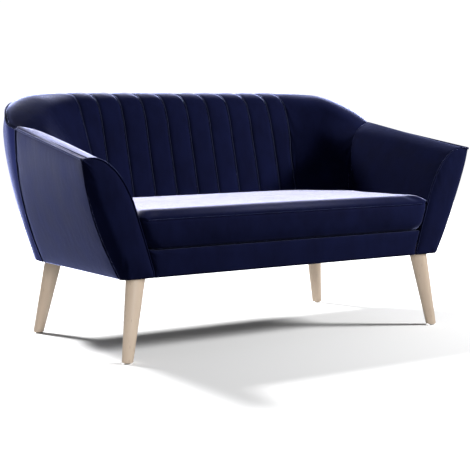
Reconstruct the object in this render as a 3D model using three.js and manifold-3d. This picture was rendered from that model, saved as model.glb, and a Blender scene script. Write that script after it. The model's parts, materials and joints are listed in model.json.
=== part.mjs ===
// A two-seat upholstered sofa: a rolled back that wraps round into flared arms, one fixed seat cushion,
// and four splayed, tapered round wooden legs screwed up into the frame.
// Millimetres, +Z up. The front faces -Y, and left and right are as seen by someone who faces the sofa.
// Depths are measured back from the plane of the arm fronts, and the whole group is centred at the end.

import * as THREE from "three";
import { mergeVertices } from "three/addons/utils/BufferGeometryUtils.js";
import Module from "manifold-3d";

const wasm = await Module();
wasm.setup();

// ---------------------------------------------------------------- driving dimensions

const UNDERSIDE = 242; // floor to the bottom of the upholstery
const SEAT_TOP = 431; // the seat where it meets the back
const SEAT_FRONT_TOP = 411; // the sewn edge along the front of the cushion
const SEAT_BOTTOM = 326; // the line between the cushion and the apron
const SEAT_PROUD = 8; // how far the cushion stands out past the arm fronts
const GAP = 0.4; // clearance between pieces that touch

const ARM_FOOT_IN = 504; // the arm front's bottom edge runs from here
const ARM_FOOT_OUT = 606; // to here
const ARM_TIP = [734, 588]; // x and z of the arm front's outer top corner
const ARM_CREST = [705, 593]; // where the arm's top starts to roll inwards
const ARM_PAD = 30; // foam on the inside and top of the arm
const PANEL = 8; // board, wadding and cloth of a flat outer panel
const FRONT_PANEL = 12; // the padded panel on the front of an arm

const JOIN = [700, 491, 664]; // where arm, back and outer side panel meet at the top
const JOIN_CREST = [697, 485, 673]; // the same place on top of the roll
const SIDE_FOOT = [601, 516]; // the same seam at the underside

const BACK_HALF_FLAT = 400; // half width of the channelled middle of the back, at the seat
const BACK_DEPTH = 541; // seat depth, from the arm fronts to the back cushion
const BACK_LEAN = 0.255; // how far the back runs rearwards for each unit of height
const BACK_PAD = 45; // foam on the inside of the back
const CREST = [699, 774.5]; // y and z of the top of the back
const BACK_EDGE = [768, 750]; // the piped edge at the rear of the roll
const REAR_FOOT = 650; // the outer back at the underside

const LEG_TOP_RADIUS = 28.5;
const LEG_FOOT_RADIUS = 16.5;
const LEG_TOP_Z = UNDERSIDE - 0.4;
const GLIDE = 3;
const BOLT_RADIUS = 4;
const BOLT_IN_LEG = 45;
const LEGS = [
  { end: "front", top: [545, 37], foot: [588, 13] },
  { end: "rear", top: [529, 588], foot: [573.5, 618] },
];

const BOARD = 24; // thickness of the frame's rails and boards
const PLY = 18; // thickness of the shaped plywood parts
const BOARD_Z = 249; // underside of the frame
const RAIL_TOP = 312; // top of the rails that carry the springs
const SPRINGS = 6;
const SPRING_WIRE = 1.9; // radius
const SPRING_BENDS = 11;

const PLATE_HALF = 24; // the square steel plate above each leg
const PLATE_THICK = 3;

// ---------------------------------------------------------------- colours and finishes

const finish = (color, roughness, metalness = 0) => ({ color, roughness, metalness });
const VELVET = finish(0x141a4a, 0.75);
const BEECH = finish(0xe3c7a6, 0.5);
const PINE = finish(0xd6b483, 0.7);
const PLYWOOD = finish(0xc29a68, 0.7);
const ZINC = finish(0xb9bcc0, 0.35, 1);
const SPRING_STEEL = finish(0x55585c, 0.4, 1);
const FELT = finish(0x8d8d8a, 0.95);
const WEBBING = finish(0x2a2a2c, 0.9);
const LINING = finish(0x151515, 0.9);
const NYLON = finish(0xe8e6e0, 0.5);

const sofa = new THREE.Group();

function add(name, geometry, look) {
  const mesh = new THREE.Mesh(geometry, new THREE.MeshStandardMaterial(look));
  mesh.name = name;
  sofa.add(mesh);
  return mesh;
}

// ---------------------------------------------------------------- geometry helpers

function geometryOf(points, triangles) {
  const geometry = new THREE.BufferGeometry();
  geometry.setAttribute("position", new THREE.Float32BufferAttribute(points.flat(), 3));
  geometry.setIndex(triangles.flat());
  return geometry;
}

function volumeOf(points, triangles) {
  const [a, b, c] = [new THREE.Vector3(), new THREE.Vector3(), new THREE.Vector3()];
  return triangles.reduce((sum, [i, j, k]) => {
    a.fromArray(points[i]);
    b.fromArray(points[j]);
    c.fromArray(points[k]);
    return sum + a.dot(b.cross(c)) / 6;
  }, 0);
}

// A closed solid between two sheets, each a grid of points of the same size.
function slab(face, back) {
  const rows = face.length;
  const columns = face[0].length;
  const points = [...face.flat(), ...back.flat()];
  const at = (sheet, i, j) => sheet * rows * columns + i * columns + j;
  const triangles = [];
  const quad = (a, b, c, d) => triangles.push([a, b, c], [a, c, d]);
  for (let i = 0; i + 1 < rows; i++) {
    for (let j = 0; j + 1 < columns; j++) {
      quad(at(0, i, j), at(0, i + 1, j), at(0, i + 1, j + 1), at(0, i, j + 1));
      quad(at(1, i, j), at(1, i, j + 1), at(1, i + 1, j + 1), at(1, i + 1, j));
    }
    quad(at(0, i, 0), at(1, i, 0), at(1, i + 1, 0), at(0, i + 1, 0));
    const j = columns - 1;
    quad(at(0, i, j), at(0, i + 1, j), at(1, i + 1, j), at(1, i, j));
  }
  for (let j = 0; j + 1 < columns; j++) {
    quad(at(0, 0, j), at(0, 0, j + 1), at(1, 0, j + 1), at(1, 0, j));
    const i = rows - 1;
    quad(at(0, i, j), at(1, i, j), at(1, i, j + 1), at(0, i, j + 1));
  }
  const inward = volumeOf(points, triangles) < 0;
  return geometryOf(points, inward ? triangles.map(([a, b, c]) => [a, c, b]) : triangles);
}

const vector = (p) => new THREE.Vector3(...p);

// The unit normals of a sheet, on the side that `outside` points away from.
function normals(sheet, outside) {
  return sheet.map((row, i) =>
    row.map((p, j) => {
      const down = vector(sheet[Math.min(i + 1, sheet.length - 1)][j]);
      const up = vector(sheet[Math.max(i - 1, 0)][j]);
      const right = vector(row[Math.min(j + 1, row.length - 1)]);
      const left = vector(row[Math.max(j - 1, 0)]);
      const normal = down.sub(up).cross(right.sub(left)).normalize();
      return normal.dot(vector(outside(p))) < 0 ? normal.negate() : normal;
    })
  );
}

// The sheet moved inwards by a depth along its normals.
const sunk = (sheet, directions, depth) =>
  sheet.map((row, i) =>
    row.map((p, j) => vector(p).addScaledVector(directions[i][j], -depth).toArray())
  );

function mirrored(geometry) {
  const copy = mergeVertices(geometry.clone().deleteAttribute("uv").deleteAttribute("normal"), 1e-3);
  copy.scale(-1, 1, 1);
  const index = copy.index.array;
  for (let i = 0; i < index.length; i += 3) [index[i + 1], index[i + 2]] = [index[i + 2], index[i + 1]];
  return copy;
}

function addPair(name, geometry, look) {
  add(`${name}_right`, geometry, look);
  add(`${name}_left`, mirrored(geometry), look);
}

function solidOf(geometry) {
  const bare = (geometry.index ? geometry.toNonIndexed() : geometry.clone())
    .deleteAttribute("uv")
    .deleteAttribute("normal");
  const merged = mergeVertices(bare, 1e-3);
  return new wasm.Manifold(
    new wasm.Mesh({
      numProp: 3,
      vertProperties: merged.attributes.position.array,
      triVerts: new Uint32Array(merged.index.array),
    })
  );
}

// A piece with the room that its neighbours need taken out of it.
function carved(geometry, ...rooms) {
  const [largest] = rooms
    .reduce((solid, room) => solid.subtract(solidOf(room)), solidOf(geometry))
    .decompose()
    .sort((a, b) => b.volume() - a.volume());
  return geometryFrom(largest);
}

// The room that a thin panel takes, with a clearance on both sides.
const roomOf = (sheet, directions, thickness) =>
  slab(sunk(sheet, directions, -4), sunk(sheet, directions, thickness + 3 * GAP));

function geometryFrom(solid) {
  const mesh = solid.getMesh();
  const geometry = new THREE.BufferGeometry();
  geometry.setAttribute("position", new THREE.Float32BufferAttribute(mesh.vertProperties, 3));
  geometry.setIndex(Array.from(mesh.triVerts));
  return geometry;
}

// A box from its lowest to its highest corner.
function box(low, high) {
  const size = high.map((value, i) => value - low[i]);
  const centre = high.map((value, i) => (value + low[i]) / 2);
  return new THREE.BoxGeometry(...size).translate(...centre);
}

const grown = (low, high, by) => box(low.map((v) => v - by), high.map((v) => v + by));

// A flat outline in x and z, made a plate that runs back from depth y.
function plate(outline, y, thickness) {
  const shape = new THREE.Shape(outline.map(([x, z]) => new THREE.Vector2(x, z)));
  const geometry = new THREE.ExtrudeGeometry(shape, { depth: thickness, bevelEnabled: false });
  return geometry.rotateX(Math.PI / 2).translate(0, y + thickness, 0);
}

// A squared timber between two four-cornered ends.
function squared(start, end) {
  const sides = [0, 1, 2, 3].flatMap((i) => {
    const j = (i + 1) % 4;
    return [[i, j, j + 4], [i, j + 4, i + 4]];
  });
  const ends = [[0, 2, 1], [0, 3, 2], [4, 5, 6], [4, 6, 7]];
  return geometryOf([...start, ...end], [...sides, ...ends]);
}

const curve2 = (Curve, ...points) => new Curve(...points.map((p) => new THREE.Vector2(...p)));
const pointsOf = (curve, steps) => curve.getPoints(steps).map((p) => [p.x, p.y]);

// An open outline moved to its left-hand side by a distance.
function inset(outline, distance) {
  return outline.map(([x, z], i) => {
    const [x0, z0] = outline[Math.max(i - 1, 0)];
    const [x1, z1] = outline[Math.min(i + 1, outline.length - 1)];
    const length = Math.hypot(x1 - x0, z1 - z0);
    return [x - (distance * (z1 - z0)) / length, z + (distance * (x1 - x0)) / length];
  });
}

// ---------------------------------------------------------------- the arm's outlines

const ROLL_STEPS = 8;
const LOW_STEPS = 2;
const LOW_Z = 340; // how far down the padding of the arms and the back runs

// From the outer corner over the top and down the inside, as [x, z] at the arm's front.
const FRONT_LOW_X = 530.5;
const frontCover = [
  ARM_TIP,
  ...pointsOf(
    curve2(THREE.CubicBezierCurve, ARM_CREST, [645, 593], [590, 525], [563, 440]),
    ROLL_STEPS
  ),
  ...pointsOf(curve2(THREE.LineCurve, [563, 440], [FRONT_LOW_X, LOW_Z]), LOW_STEPS).slice(1),
];

// The same line at the seam between the arm and the back, which runs forwards as it goes down.
const REAR_LOW_X = 541;
const SEAM_LOW_Y = 375;
const SEAM_ROLL_Y = 395;
const rearRoll = pointsOf(
  curve2(THREE.CubicBezierCurve, [697, 673], [607, 655], [555, 625], [550, 500]),
  ROLL_STEPS
);
const rearLow = pointsOf(curve2(THREE.LineCurve, [550, 500], [REAR_LOW_X, LOW_Z]), LOW_STEPS).slice(1);
const armSeam = [
  JOIN,
  ...rearRoll.map(([x, z], i) => [
    x,
    JOIN_CREST[1] - (JOIN_CREST[1] - SEAM_ROLL_Y) * (i / ROLL_STEPS) ** 0.75,
    z,
  ]),
  ...rearLow.map(([x, z], i) => [
    x,
    SEAM_ROLL_Y - ((SEAM_ROLL_Y - SEAM_LOW_Y) * (i + 1)) / LOW_STEPS,
    z,
  ]),
];

const OUTER_STEPS = 9;
const frontOuter = pointsOf(
  curve2(THREE.QuadraticBezierCurve, [ARM_FOOT_OUT, UNDERSIDE], [703, 415], ARM_TIP),
  OUTER_STEPS
);
const rearOuter = pointsOf(
  curve2(THREE.QuadraticBezierCurve, [SIDE_FOOT[0], UNDERSIDE], [704, 457], [JOIN[0], JOIN[2]]),
  OUTER_STEPS
);
const seamDepth = (z) =>
  THREE.MathUtils.mapLinear(z, UNDERSIDE, JOIN[2], SIDE_FOOT[1], JOIN[1]);

// The padding stops short of the side panel, which closes the arm outside it.
const PAD_END = PANEL + 2;
const padOnly = (line) =>
  line.map((p, i) => {
    const x = Math.min(p[0], line[0][0] - PAD_END * (i === 0 ? 1 : 1.8));
    const z = i === 0 ? line[1][p.length - 1] : p[p.length - 1];
    return p.length === 2 ? [x, z] : [x, i === 0 ? line[1][1] : p[1], z];
  });

// The arm's outline between its front, at 0, and its rear, at 1.
const between = (front, rear, t) =>
  front.map(([x, z], i) => [x + (rear[i][0] - x) * t, z + (rear[i][1] - z) * t]);

// ---------------------------------------------------------------- the back's surface

// The inside of the back in plan is straight in the middle and a quarter ellipse at each corner,
// which leans back and widens as it rises.
const CORNER_X = 300;
const CORNER_A = 275;
const CORNER_B = 291;
const backDepth = (z) => BACK_DEPTH + BACK_LEAN * (z - SEAT_TOP);

function insidePoint(angle, z) {
  const a = CORNER_A + Math.max(z - 560, 0) * 0.35;
  const y = backDepth(z) - CORNER_B * (1 - Math.sin(angle));
  return [CORNER_X + a * Math.cos(angle), y, z];
}

const smooth = (points) => new THREE.CatmullRomCurve3(points.map(vector), false, "centripetal");

// Lines that run along the back from the middle, at 0, to the join with the arm, at 1.
const SEAM_X = 418; // the last channel seam, at the top
const crestLine = smooth([
  [0, ...CREST],
  [300, ...CREST],
  [SEAM_X, 693, CREST[1]],
  [510, 668, 771],
  [590, 628, 763],
  [648, 578, 739],
  [684, 530, 704],
  JOIN_CREST,
]);
const edgeLine = smooth([
  [0, ...BACK_EDGE],
  [300, ...BACK_EDGE],
  [440, 766, 751],
  [560, 728, 752],
  [650, 650, 752],
  [697, 573, 728],
  [708, 528, 691],
  JOIN,
]);
const shoulderLine = smooth([
  [0, backDepth(700), 700],
  [300, backDepth(700), 700],
  [SEAM_X - 4, 600, 700],
  [480, 576, 700],
  [540, 543, 698],
  [590, 505, 689],
  [622, 470, 674],
  [650, 459, 664],
]);

// One line from the piped edge over the roll and down the inside, at a place along the back.
// The angle says where the plan corner it belongs to is, from the side, 0, to the back, 90 degrees.
function backLine(station, angle) {
  const edge = edgeLine.getPoint(station).toArray();
  const crest = crestLine.getPoint(station).toArray();
  const shoulder = shoulderLine.getPoint(station).toArray();
  const roll = [0.35, 0.72].map((f) => {
    const bulge = Math.sin(f * Math.PI) * 0.2;
    return crest.map((c, i) => {
      const straight = c + (shoulder[i] - c) * f;
      const corner = i === 2 ? crest[2] : shoulder[i];
      return straight + (corner - straight) * bulge * 2;
    });
  });
  const face = smooth([
    crest,
    ...roll,
    shoulder,
    insidePoint(angle, 620),
    insidePoint(angle, 560),
    insidePoint(angle, 500),
  ]);
  const low = smooth([500, 410, LOW_Z].map((z) => insidePoint(angle, z)));
  return [
    edge,
    ...face.getSpacedPoints(ROLL_STEPS).map((p) => p.toArray()),
    ...low.getSpacedPoints(LOW_STEPS).slice(1).map((p) => p.toArray()),
  ];
}

const SEAM_STATION = 2 / 7;
const SEAM_ANGLE = Math.acos((BACK_HALF_FLAT - CORNER_X) / CORNER_A);

// The channelled middle ends on the last channel seam, which leans outwards as it rises.
function middleLine(share) {
  const end = backLine(SEAM_STATION, SEAM_ANGLE);
  const centre = backLine(0, Math.PI / 2);
  return end.map(([x, y, z], i) => {
    const ease = Math.abs(share) ** 4;
    const [, yc, zc] = centre[i];
    return [x * share, yc + (y - yc) * ease, zc + (z - zc) * ease];
  });
}

// The padding of the back stops short of the outer panel at the piped edge.
function clearOfPanel(line) {
  const [edge] = line;
  const inside = line[4];
  const length = Math.hypot(edge[0] - inside[0], edge[1] - inside[1]);
  const shift = (i) => (PAD_END * (inside[i] - edge[i])) / length;
  return [[edge[0] + shift(0), edge[1] + shift(1), edge[2] + 3], ...line.slice(1)];
}

const MIDDLE_COLUMNS = 8;
const WING_COLUMNS = 7;
const middle = Array.from({ length: MIDDLE_COLUMNS + 1 }, (_, i) =>
  clearOfPanel(middleLine((2 * i) / MIDDLE_COLUMNS - 1))
);
const wing = Array.from({ length: WING_COLUMNS + 1 }, (_, i) => {
  if (i === WING_COLUMNS) return padOnly(armSeam);
  const t = i / WING_COLUMNS;
  const angle = SEAM_ANGLE + (THREE.MathUtils.degToRad(25) - SEAM_ANGLE) * t;
  return clearOfPanel(backLine(SEAM_STATION + (1 - SEAM_STATION) * t, angle));
});

// ---------------------------------------------------------------- covers and cushions

// The outward normals of a line over the arm, in the upright plane across the sofa.
const uprightNormals = (line) =>
  line.map((_, i) => {
    const [x0, , z0] = line[Math.max(i - 1, 0)];
    const [x1, , z1] = line[Math.min(i + 1, line.length - 1)];
    return new THREE.Vector3(z1 - z0, 0, x0 - x1).normalize();
  });

const awayFromSeat = (p) => [-p[0], 300 - p[1], Math.max(p[2] - 560, 0) * 3];
const inPlane = (direction, axis) => direction.setComponent(axis, 0).normalize();

function backPads() {
  const middleNormals = normals(middle, ([, y, z]) => [0, y > 740 ? 1 : -1, z > 700 ? 2 : 0]);
  middleNormals.flat().forEach((n) => inPlane(n, 0));
  const trimmed = middle.map((line) =>
    line.map(([x, y, z]) => [x * (1 - 1 / SEAM_X), y, z])
  );
  const behind = outerSheet(1, 0.5);
  const room = roomOf(behind, normals(behind, outwards), PANEL);
  const middlePad = slab(trimmed, sunk(trimmed, middleNormals, BACK_PAD));
  add("back_middle_pad", carved(middlePad, room), VELVET);

  const wingNormals = normals(wing, awayFromSeat);
  wingNormals[0] = middleNormals[MIDDLE_COLUMNS].map((n) => n.clone());
  wingNormals[WING_COLUMNS] = uprightNormals(wing[WING_COLUMNS]);
  const shifted = wing.map((line, i) =>
    line.map(([x, y, z]) => [x + (i === 0 ? 0.8 : 0), y + (i === WING_COLUMNS ? 1.2 : 0), z])
  );
  const depth = wing.map((_, i) => BACK_PAD + ((ARM_PAD - BACK_PAD) * i) / WING_COLUMNS);
  const sunkWing = shifted.map(
    (line, i) => sunk([line], [wingNormals[i]], depth[i])[0]
  );
  addPair("back_wing_pad", carved(slab(shifted, sunkWing), room), VELVET);
}

const sideRow = (t) =>
  between(frontOuter, rearOuter, t).map(([x, z]) => [
    x,
    FRONT_PANEL + GAP + (seamDepth(z) - 1 - FRONT_PANEL - GAP) * t,
    z - (z > 560 ? 1 : 0),
  ]);
const side = [0, 1].map(sideRow);
const sideNormals = normals(side, () => [1, 0, 0]);
sideNormals.flat().forEach((n) => inPlane(n, 1));

function armCovers() {
  const place = (outline, y) => outline.map(([x, z]) => [x, y, z]);
  const face = [place(padOnly(frontCover), FRONT_PANEL + GAP), padOnly(armSeam)];
  const pad = slab(face, sunk(face, face.map(uprightNormals), ARM_PAD));
  addPair("arm_pad", carved(pad, roomOf(side, sideNormals, PANEL)), VELVET);
  addPair("arm_side_panel", slab(side, sunk(side, sideNormals, PANEL)), VELVET);

  const fin = [[ARM_FOOT_IN, UNDERSIDE], ...frontOuter, ...frontCover.slice(1, -1), [505, 262]];
  addPair("arm_front_panel", plate(fin, 0, FRONT_PANEL), VELVET);
}

// The outer back in plan: a quarter ellipse from the side seam, then straight across.
function outerPoint(share, z) {
  const rise = Math.min((z - UNDERSIDE) / (JOIN[2] - UNDERSIDE), 1);
  const side = seamX(z);
  const rear = REAR_FOOT + BACK_LEAN * (z - UNDERSIDE);
  const a = 60 + 362 * rise * (1.148 - rise);
  const y0 = seamDepth(Math.min(z, JOIN[2]));
  const turn = Math.min(share / CORNER_SHARE, 1) * (Math.PI / 2);
  const x = side - a * (1 - Math.cos(turn));
  const y = y0 + (rear - y0) * Math.sin(turn);
  const flat = Math.max((share - CORNER_SHARE) / (1 - CORNER_SHARE), 0);
  return [x * (1 - flat), y, z];
}

const CORNER_SHARE = 0.5;
function seamX(z) {
  const d = Math.min(z, JOIN[2]) - UNDERSIDE;
  return SIDE_FOOT[0] + 0.48 * d - 0.00058 * d * d;
}

const PANEL_COLUMNS = 12;
const PANEL_ROWS = 7;

// The outside of the back from seam to seam, set back a little from the seams
// and up to a distance below its piped edge.
function outerSheet(drop, setBack) {
  const half = Array.from({ length: PANEL_COLUMNS + 1 }, (_, i) => {
    const share = i / PANEL_COLUMNS;
    const top = edgeLine.getPoint(1 - share).toArray();
    return Array.from({ length: PANEL_ROWS + 1 }, (_, j) => {
      const s = j / PANEL_ROWS;
      const z = UNDERSIDE + (top[2] - drop - UNDERSIDE) * s;
      const plain = outerPoint(share, z);
      const target = outerPoint(share, top[2] - drop);
      const [x, y] = plain.map((v, k) => v + (top[k] - target[k]) * s ** 5);
      return [x, y + setBack, z];
    });
  });
  return [
    ...half.map((line) => line.map(([x, y, z]) => [-x, y, z])),
    ...half.slice(0, -1).reverse(),
  ];
}

const outwards = ([x, y]) => [x, Math.max(y - 500, 1), 0];

function outerBack() {
  const sheet = outerSheet(5, 2.5);
  add("outer_back_panel", slab(sheet, sunk(sheet, normals(sheet, outwards), PANEL)), VELVET);
}

// The seat cushion fills the space between the arms and the back, and rises towards the back.
function seatCushion() {
  const CLEAR = 3;
  const REAR_CLEAR = 9;
  // The inside face of the arm at a depth and a height.
  const armInside = (y, z) => {
    const [front, rear] = [FRONT_LOW_X + (z - LOW_Z) * 0.325, REAR_LOW_X + (z - LOW_Z) * 0.057];
    return front + (rear - front) * Math.max(y / SEAM_ROLL_Y, 0);
  };
  const outline = (z, shrink) => {
    const side = (y) => [armInside(y, z) - CLEAR - shrink, y];
    const corner = Array.from({ length: 6 }, (_, i) => {
      const angle = THREE.MathUtils.degToRad(30 + (i * 60) / 5);
      const [x, y] = insidePoint(angle, z);
      return [x - REAR_CLEAR - shrink, y - REAR_CLEAR - shrink];
    });
    const [frontSide] = side(0);
    const right = [[frontSide, -SEAT_PROUD + shrink], side(40), side(340), ...corner];
    return [...right, ...right.map(([x, y]) => [-x, y]).reverse()];
  };
  const layer = (z, shrink, rise) =>
    outline(z, shrink).map(([x, y]) => [x, y, z + rise * THREE.MathUtils.smoothstep(y, 0, 400)]);
  const layers = [
    layer(SEAT_BOTTOM, 4, 0),
    layer(SEAT_BOTTOM + 12, 0, 0),
    layer(SEAT_FRONT_TOP - 16, 0, SEAT_TOP - SEAT_FRONT_TOP),
    layer(SEAT_FRONT_TOP, 5, SEAT_TOP - SEAT_FRONT_TOP),
  ];
  const count = layers[0].length;
  const points = layers.flat();
  const triangles = [];
  for (let k = 0; k + 1 < layers.length; k++)
    for (let i = 0; i < count; i++) {
      const [a, b] = [k * count + i, k * count + ((i + 1) % count)];
      triangles.push([a, b, b + count], [a, b + count, a + count]);
    }
  const top = (layers.length - 1) * count;
  for (const [a, b, c] of THREE.ShapeUtils.triangulateShape(
    layers[0].map(([x, y]) => new THREE.Vector2(x, y)),
    []
  )) {
    triangles.push([a, c, b], [top + a, top + b, top + c]);
  }
  const inward = volumeOf(points, triangles) < 0;
  const closed = geometryOf(points, inward ? triangles.map(([a, b, c]) => [a, c, b]) : triangles);
  add("seat_cushion", closed, VELVET);
}

function apron() {
  const outline = [
    [-498, UNDERSIDE],
    [498, UNDERSIDE],
    [512, SEAT_BOTTOM - GAP],
    [-512, SEAT_BOTTOM - GAP],
  ];
  add("front_apron", plate(outline, 0, FRONT_PANEL), VELVET);
}

// ---------------------------------------------------------------- legs

function leg({ end, top, foot }) {
  const topPoint = new THREE.Vector3(...top, LEG_TOP_Z);
  const footPoint = new THREE.Vector3(...foot, 0);
  const axis = topPoint.clone().sub(footPoint);
  const length = axis.length();
  const SPARE = 12; // each end runs past its cut
  const slope = (LEG_TOP_RADIUS - LEG_FOOT_RADIUS) / length;
  const profile = [
    [0, -SPARE],
    [LEG_FOOT_RADIUS - slope * SPARE, -SPARE],
    [LEG_TOP_RADIUS + slope * SPARE, length + SPARE],
    [BOLT_RADIUS + GAP, length + SPARE],
    [BOLT_RADIUS + GAP, length - BOLT_IN_LEG - 3],
    [0, length - BOLT_IN_LEG - 3],
  ].map(([x, y]) => new THREE.Vector2(x, y));
  const lean = new THREE.Quaternion().setFromUnitVectors(
    new THREE.Vector3(0, 1, 0),
    axis.clone().normalize()
  );
  const placed = (geometry) =>
    geometry.applyQuaternion(lean).translate(footPoint.x, footPoint.y, footPoint.z);
  const SIDES = 36;
  const cone = solidOf(placed(new THREE.LatheGeometry(profile, SIDES)));
  const slice = solidOf(box([300, -200, GLIDE + GAP], [800, 900, LEG_TOP_Z]));
  addPair(`leg_${end}`, geometryFrom(cone.intersect(slice)), BEECH);

  const bolt = new THREE.CylinderGeometry(BOLT_RADIUS, BOLT_RADIUS, BOLT_IN_LEG + BOARD, 12);
  bolt.translate(0, length + (BOARD - BOLT_IN_LEG) / 2, 0);
  addPair(`leg_bolt_${end}`, placed(bolt), ZINC);

  const glide = new THREE.CylinderGeometry(LEG_FOOT_RADIUS - 3, LEG_FOOT_RADIUS - 3, GLIDE, 24);
  glide.rotateX(Math.PI / 2).translate(...foot, GLIDE / 2);
  addPair(`glide_${end}`, glide, NYLON);

  const square = new THREE.Shape([
    new THREE.Vector2(-PLATE_HALF, -PLATE_HALF),
    new THREE.Vector2(PLATE_HALF, -PLATE_HALF),
    new THREE.Vector2(PLATE_HALF, PLATE_HALF),
    new THREE.Vector2(-PLATE_HALF, PLATE_HALF),
  ]);
  square.holes.push(new THREE.Path().absarc(0, 0, BOLT_RADIUS + 3, 0, 2 * Math.PI, true));
  const flange = new THREE.ExtrudeGeometry(square, {
    depth: PLATE_THICK,
    bevelEnabled: false,
    curveSegments: 12,
  });
  addPair(`leg_plate_${end}`, flange.translate(...top, LEG_TOP_Z + GAP), ZINC);
}

// ---------------------------------------------------------------- frame

const NUT_HOLE = 11;

function boredBoard(low, high, holes) {
  const shape = new THREE.Shape([
    new THREE.Vector2(low[0], low[1]),
    new THREE.Vector2(high[0], low[1]),
    new THREE.Vector2(high[0], high[1]),
    new THREE.Vector2(low[0], high[1]),
  ]);
  for (const [x, y] of holes)
    shape.holes.push(new THREE.Path().absarc(x, y, NUT_HOLE, 0, 2 * Math.PI, true));
  const depth = high[2] - low[2];
  const settings = { depth, bevelEnabled: false, curveSegments: 12 };
  return new THREE.ExtrudeGeometry(shape, settings).translate(0, 0, low[2]);
}

const FRONT_RAIL_Y = FRONT_PANEL + GAP;
const REAR_RAIL_Y = 556;
const SIDE_IN = 509;

function baseFrame() {
  const boardTop = BOARD_Z + BOARD;
  const [front, rear] = LEGS;
  addPair(
    "side_board",
    boredBoard([SIDE_IN, FRONT_RAIL_Y, BOARD_Z], [586, REAR_RAIL_Y - GAP, boardTop], [front.top]),
    PLYWOOD
  );
  const mirrorHoles = [rear.top, [-rear.top[0], rear.top[1]]];
  add(
    "rear_board",
    boredBoard([-552, REAR_RAIL_Y, BOARD_Z], [552, 626, boardTop], mirrorHoles),
    PLYWOOD
  );
  const innerY = FRONT_RAIL_Y + BOARD + GAP;
  add(
    "front_rail",
    box([-SIDE_IN + GAP, FRONT_RAIL_Y, BOARD_Z], [SIDE_IN - GAP, innerY - GAP, RAIL_TOP]),
    PINE
  );
  add(
    "seat_rear_rail",
    box([-500, REAR_RAIL_Y, boardTop + GAP], [500, REAR_RAIL_Y + BOARD, RAIL_TOP]),
    PINE
  );
  addPair(
    "seat_side_rail",
    box([SIDE_IN - GAP - BOARD, innerY, BOARD_Z], [SIDE_IN - GAP, REAR_RAIL_Y - GAP, RAIL_TOP]),
    PINE
  );
  add("centre_rail", box([-BOARD / 2, innerY, BOARD_Z], [BOARD / 2, REAR_RAIL_Y - GAP, 300]), PINE);
}

function armFrame() {
  const coverDepth = ARM_PAD + 6;
  const panelDepth = PANEL + 2;
  const boardTop = BOARD_Z + BOARD + GAP;
  // The plywood profile of the arm at a share of the way from its front to its rear.
  const profile = (t, thicker) => {
    const cover = armSeam.map(([x, , z]) => [x, z]);
    const inside = inset(between(frontCover, cover, t), coverDepth + thicker).slice(3);
    const outside = inset(between(frontOuter, rearOuter, t), panelDepth).slice(1, -1);
    return [...inside.reverse(), ...outside.reverse()].filter(([, z]) => z > boardTop + 2);
  };
  const closed = (outline) => {
    const [inner] = outline;
    const outer = outline[outline.length - 1];
    return [[outer[0] - 8, boardTop], [inner[0], boardTop], ...outline];
  };
  const POST_Y = 455;
  addPair("arm_front_post", plate(closed(profile(0.05, 0)), FRONT_PANEL + 2 * GAP, PLY), PLYWOOD);
  addPair("arm_rear_post", plate(closed(profile(0.95, 22)), POST_Y, PLY), PLYWOOD);
  const face = (y) => ([x, z]) => [[-15, -12], [15, -12], [15, 12], [-15, 12]].map(([dx, dz]) => [
    x + dx,
    y,
    z + dz,
  ]);
  const railFront = face(FRONT_PANEL + PLY + 3 * GAP)([695, 545]);
  const railRear = face(POST_Y - GAP)([655, 611]);
  const rail = squared(railRear, railFront);
  addPair("arm_top_rail", rail, PINE);
}

// ---------------------------------------------------------------- the back's frame

const TOP_RAIL = { low: [-396, 682, 690], high: [396, 716, 716] };
const LOWER_RAIL = { low: [-396, 612, 372], high: [396, 634, 420] };

function backFrame() {
  const section = middleLine(0).map(([, y, z]) => [y, z]);
  const inside = inset(section, BACK_PAD + 4).filter(([, z]) => z > LOW_Z + 2);
  const rear = (z) => REAR_FOOT + BACK_LEAN * (z - UNDERSIDE) - PANEL - 14;
  const boardTop = BOARD_Z + BOARD + GAP;
  const heel = REAR_RAIL_Y + BOARD + 2;
  const outline = [
    [heel, boardTop],
    [622, boardTop],
    [rear(700), 700],
    ...inside.slice(1).filter(([y, z]) => y < rear(z) - 4),
    [heel, 330],
  ];
  const shape = new THREE.Shape(outline.map(([y, z]) => new THREE.Vector2(y, z)));
  const rib = new THREE.ExtrudeGeometry(shape, { depth: PLY, bevelEnabled: false });
  // The shape's x runs along Y, its y along Z and its depth along X.
  rib.applyMatrix4(new THREE.Matrix4().makeBasis(vector([0, 1, 0]), vector([0, 0, 1]), vector([1, 0, 0])));
  const rails = [TOP_RAIL, LOWER_RAIL];
  for (const [name, x] of [["left", -360], ["middle", 0], ["right", 360]]) {
    let solid = solidOf(rib.clone().translate(x - PLY / 2, 0, 0));
    for (const rail of rails) solid = solid.subtract(solidOf(grown(rail.low, rail.high, GAP)));
    add(`back_rib_${name}`, geometryFrom(solid), PLYWOOD);
  }
  add("back_top_rail", box(TOP_RAIL.low, TOP_RAIL.high), PINE);
  add("back_lower_rail", box(LOWER_RAIL.low, LOWER_RAIL.high), PINE);

  const POST = 17;
  const around = ([x, y, z]) =>
    [[-POST, -POST], [POST, -POST], [POST, POST], [-POST, POST]].map(([dx, dy]) => [x + dx, y + dy, z]);
  const post = squared(around([534, 590, boardTop]), around([590, 632, 690]));
  addPair("back_corner_post", post, PINE);
}

// ---------------------------------------------------------------- suspension and linings

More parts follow.
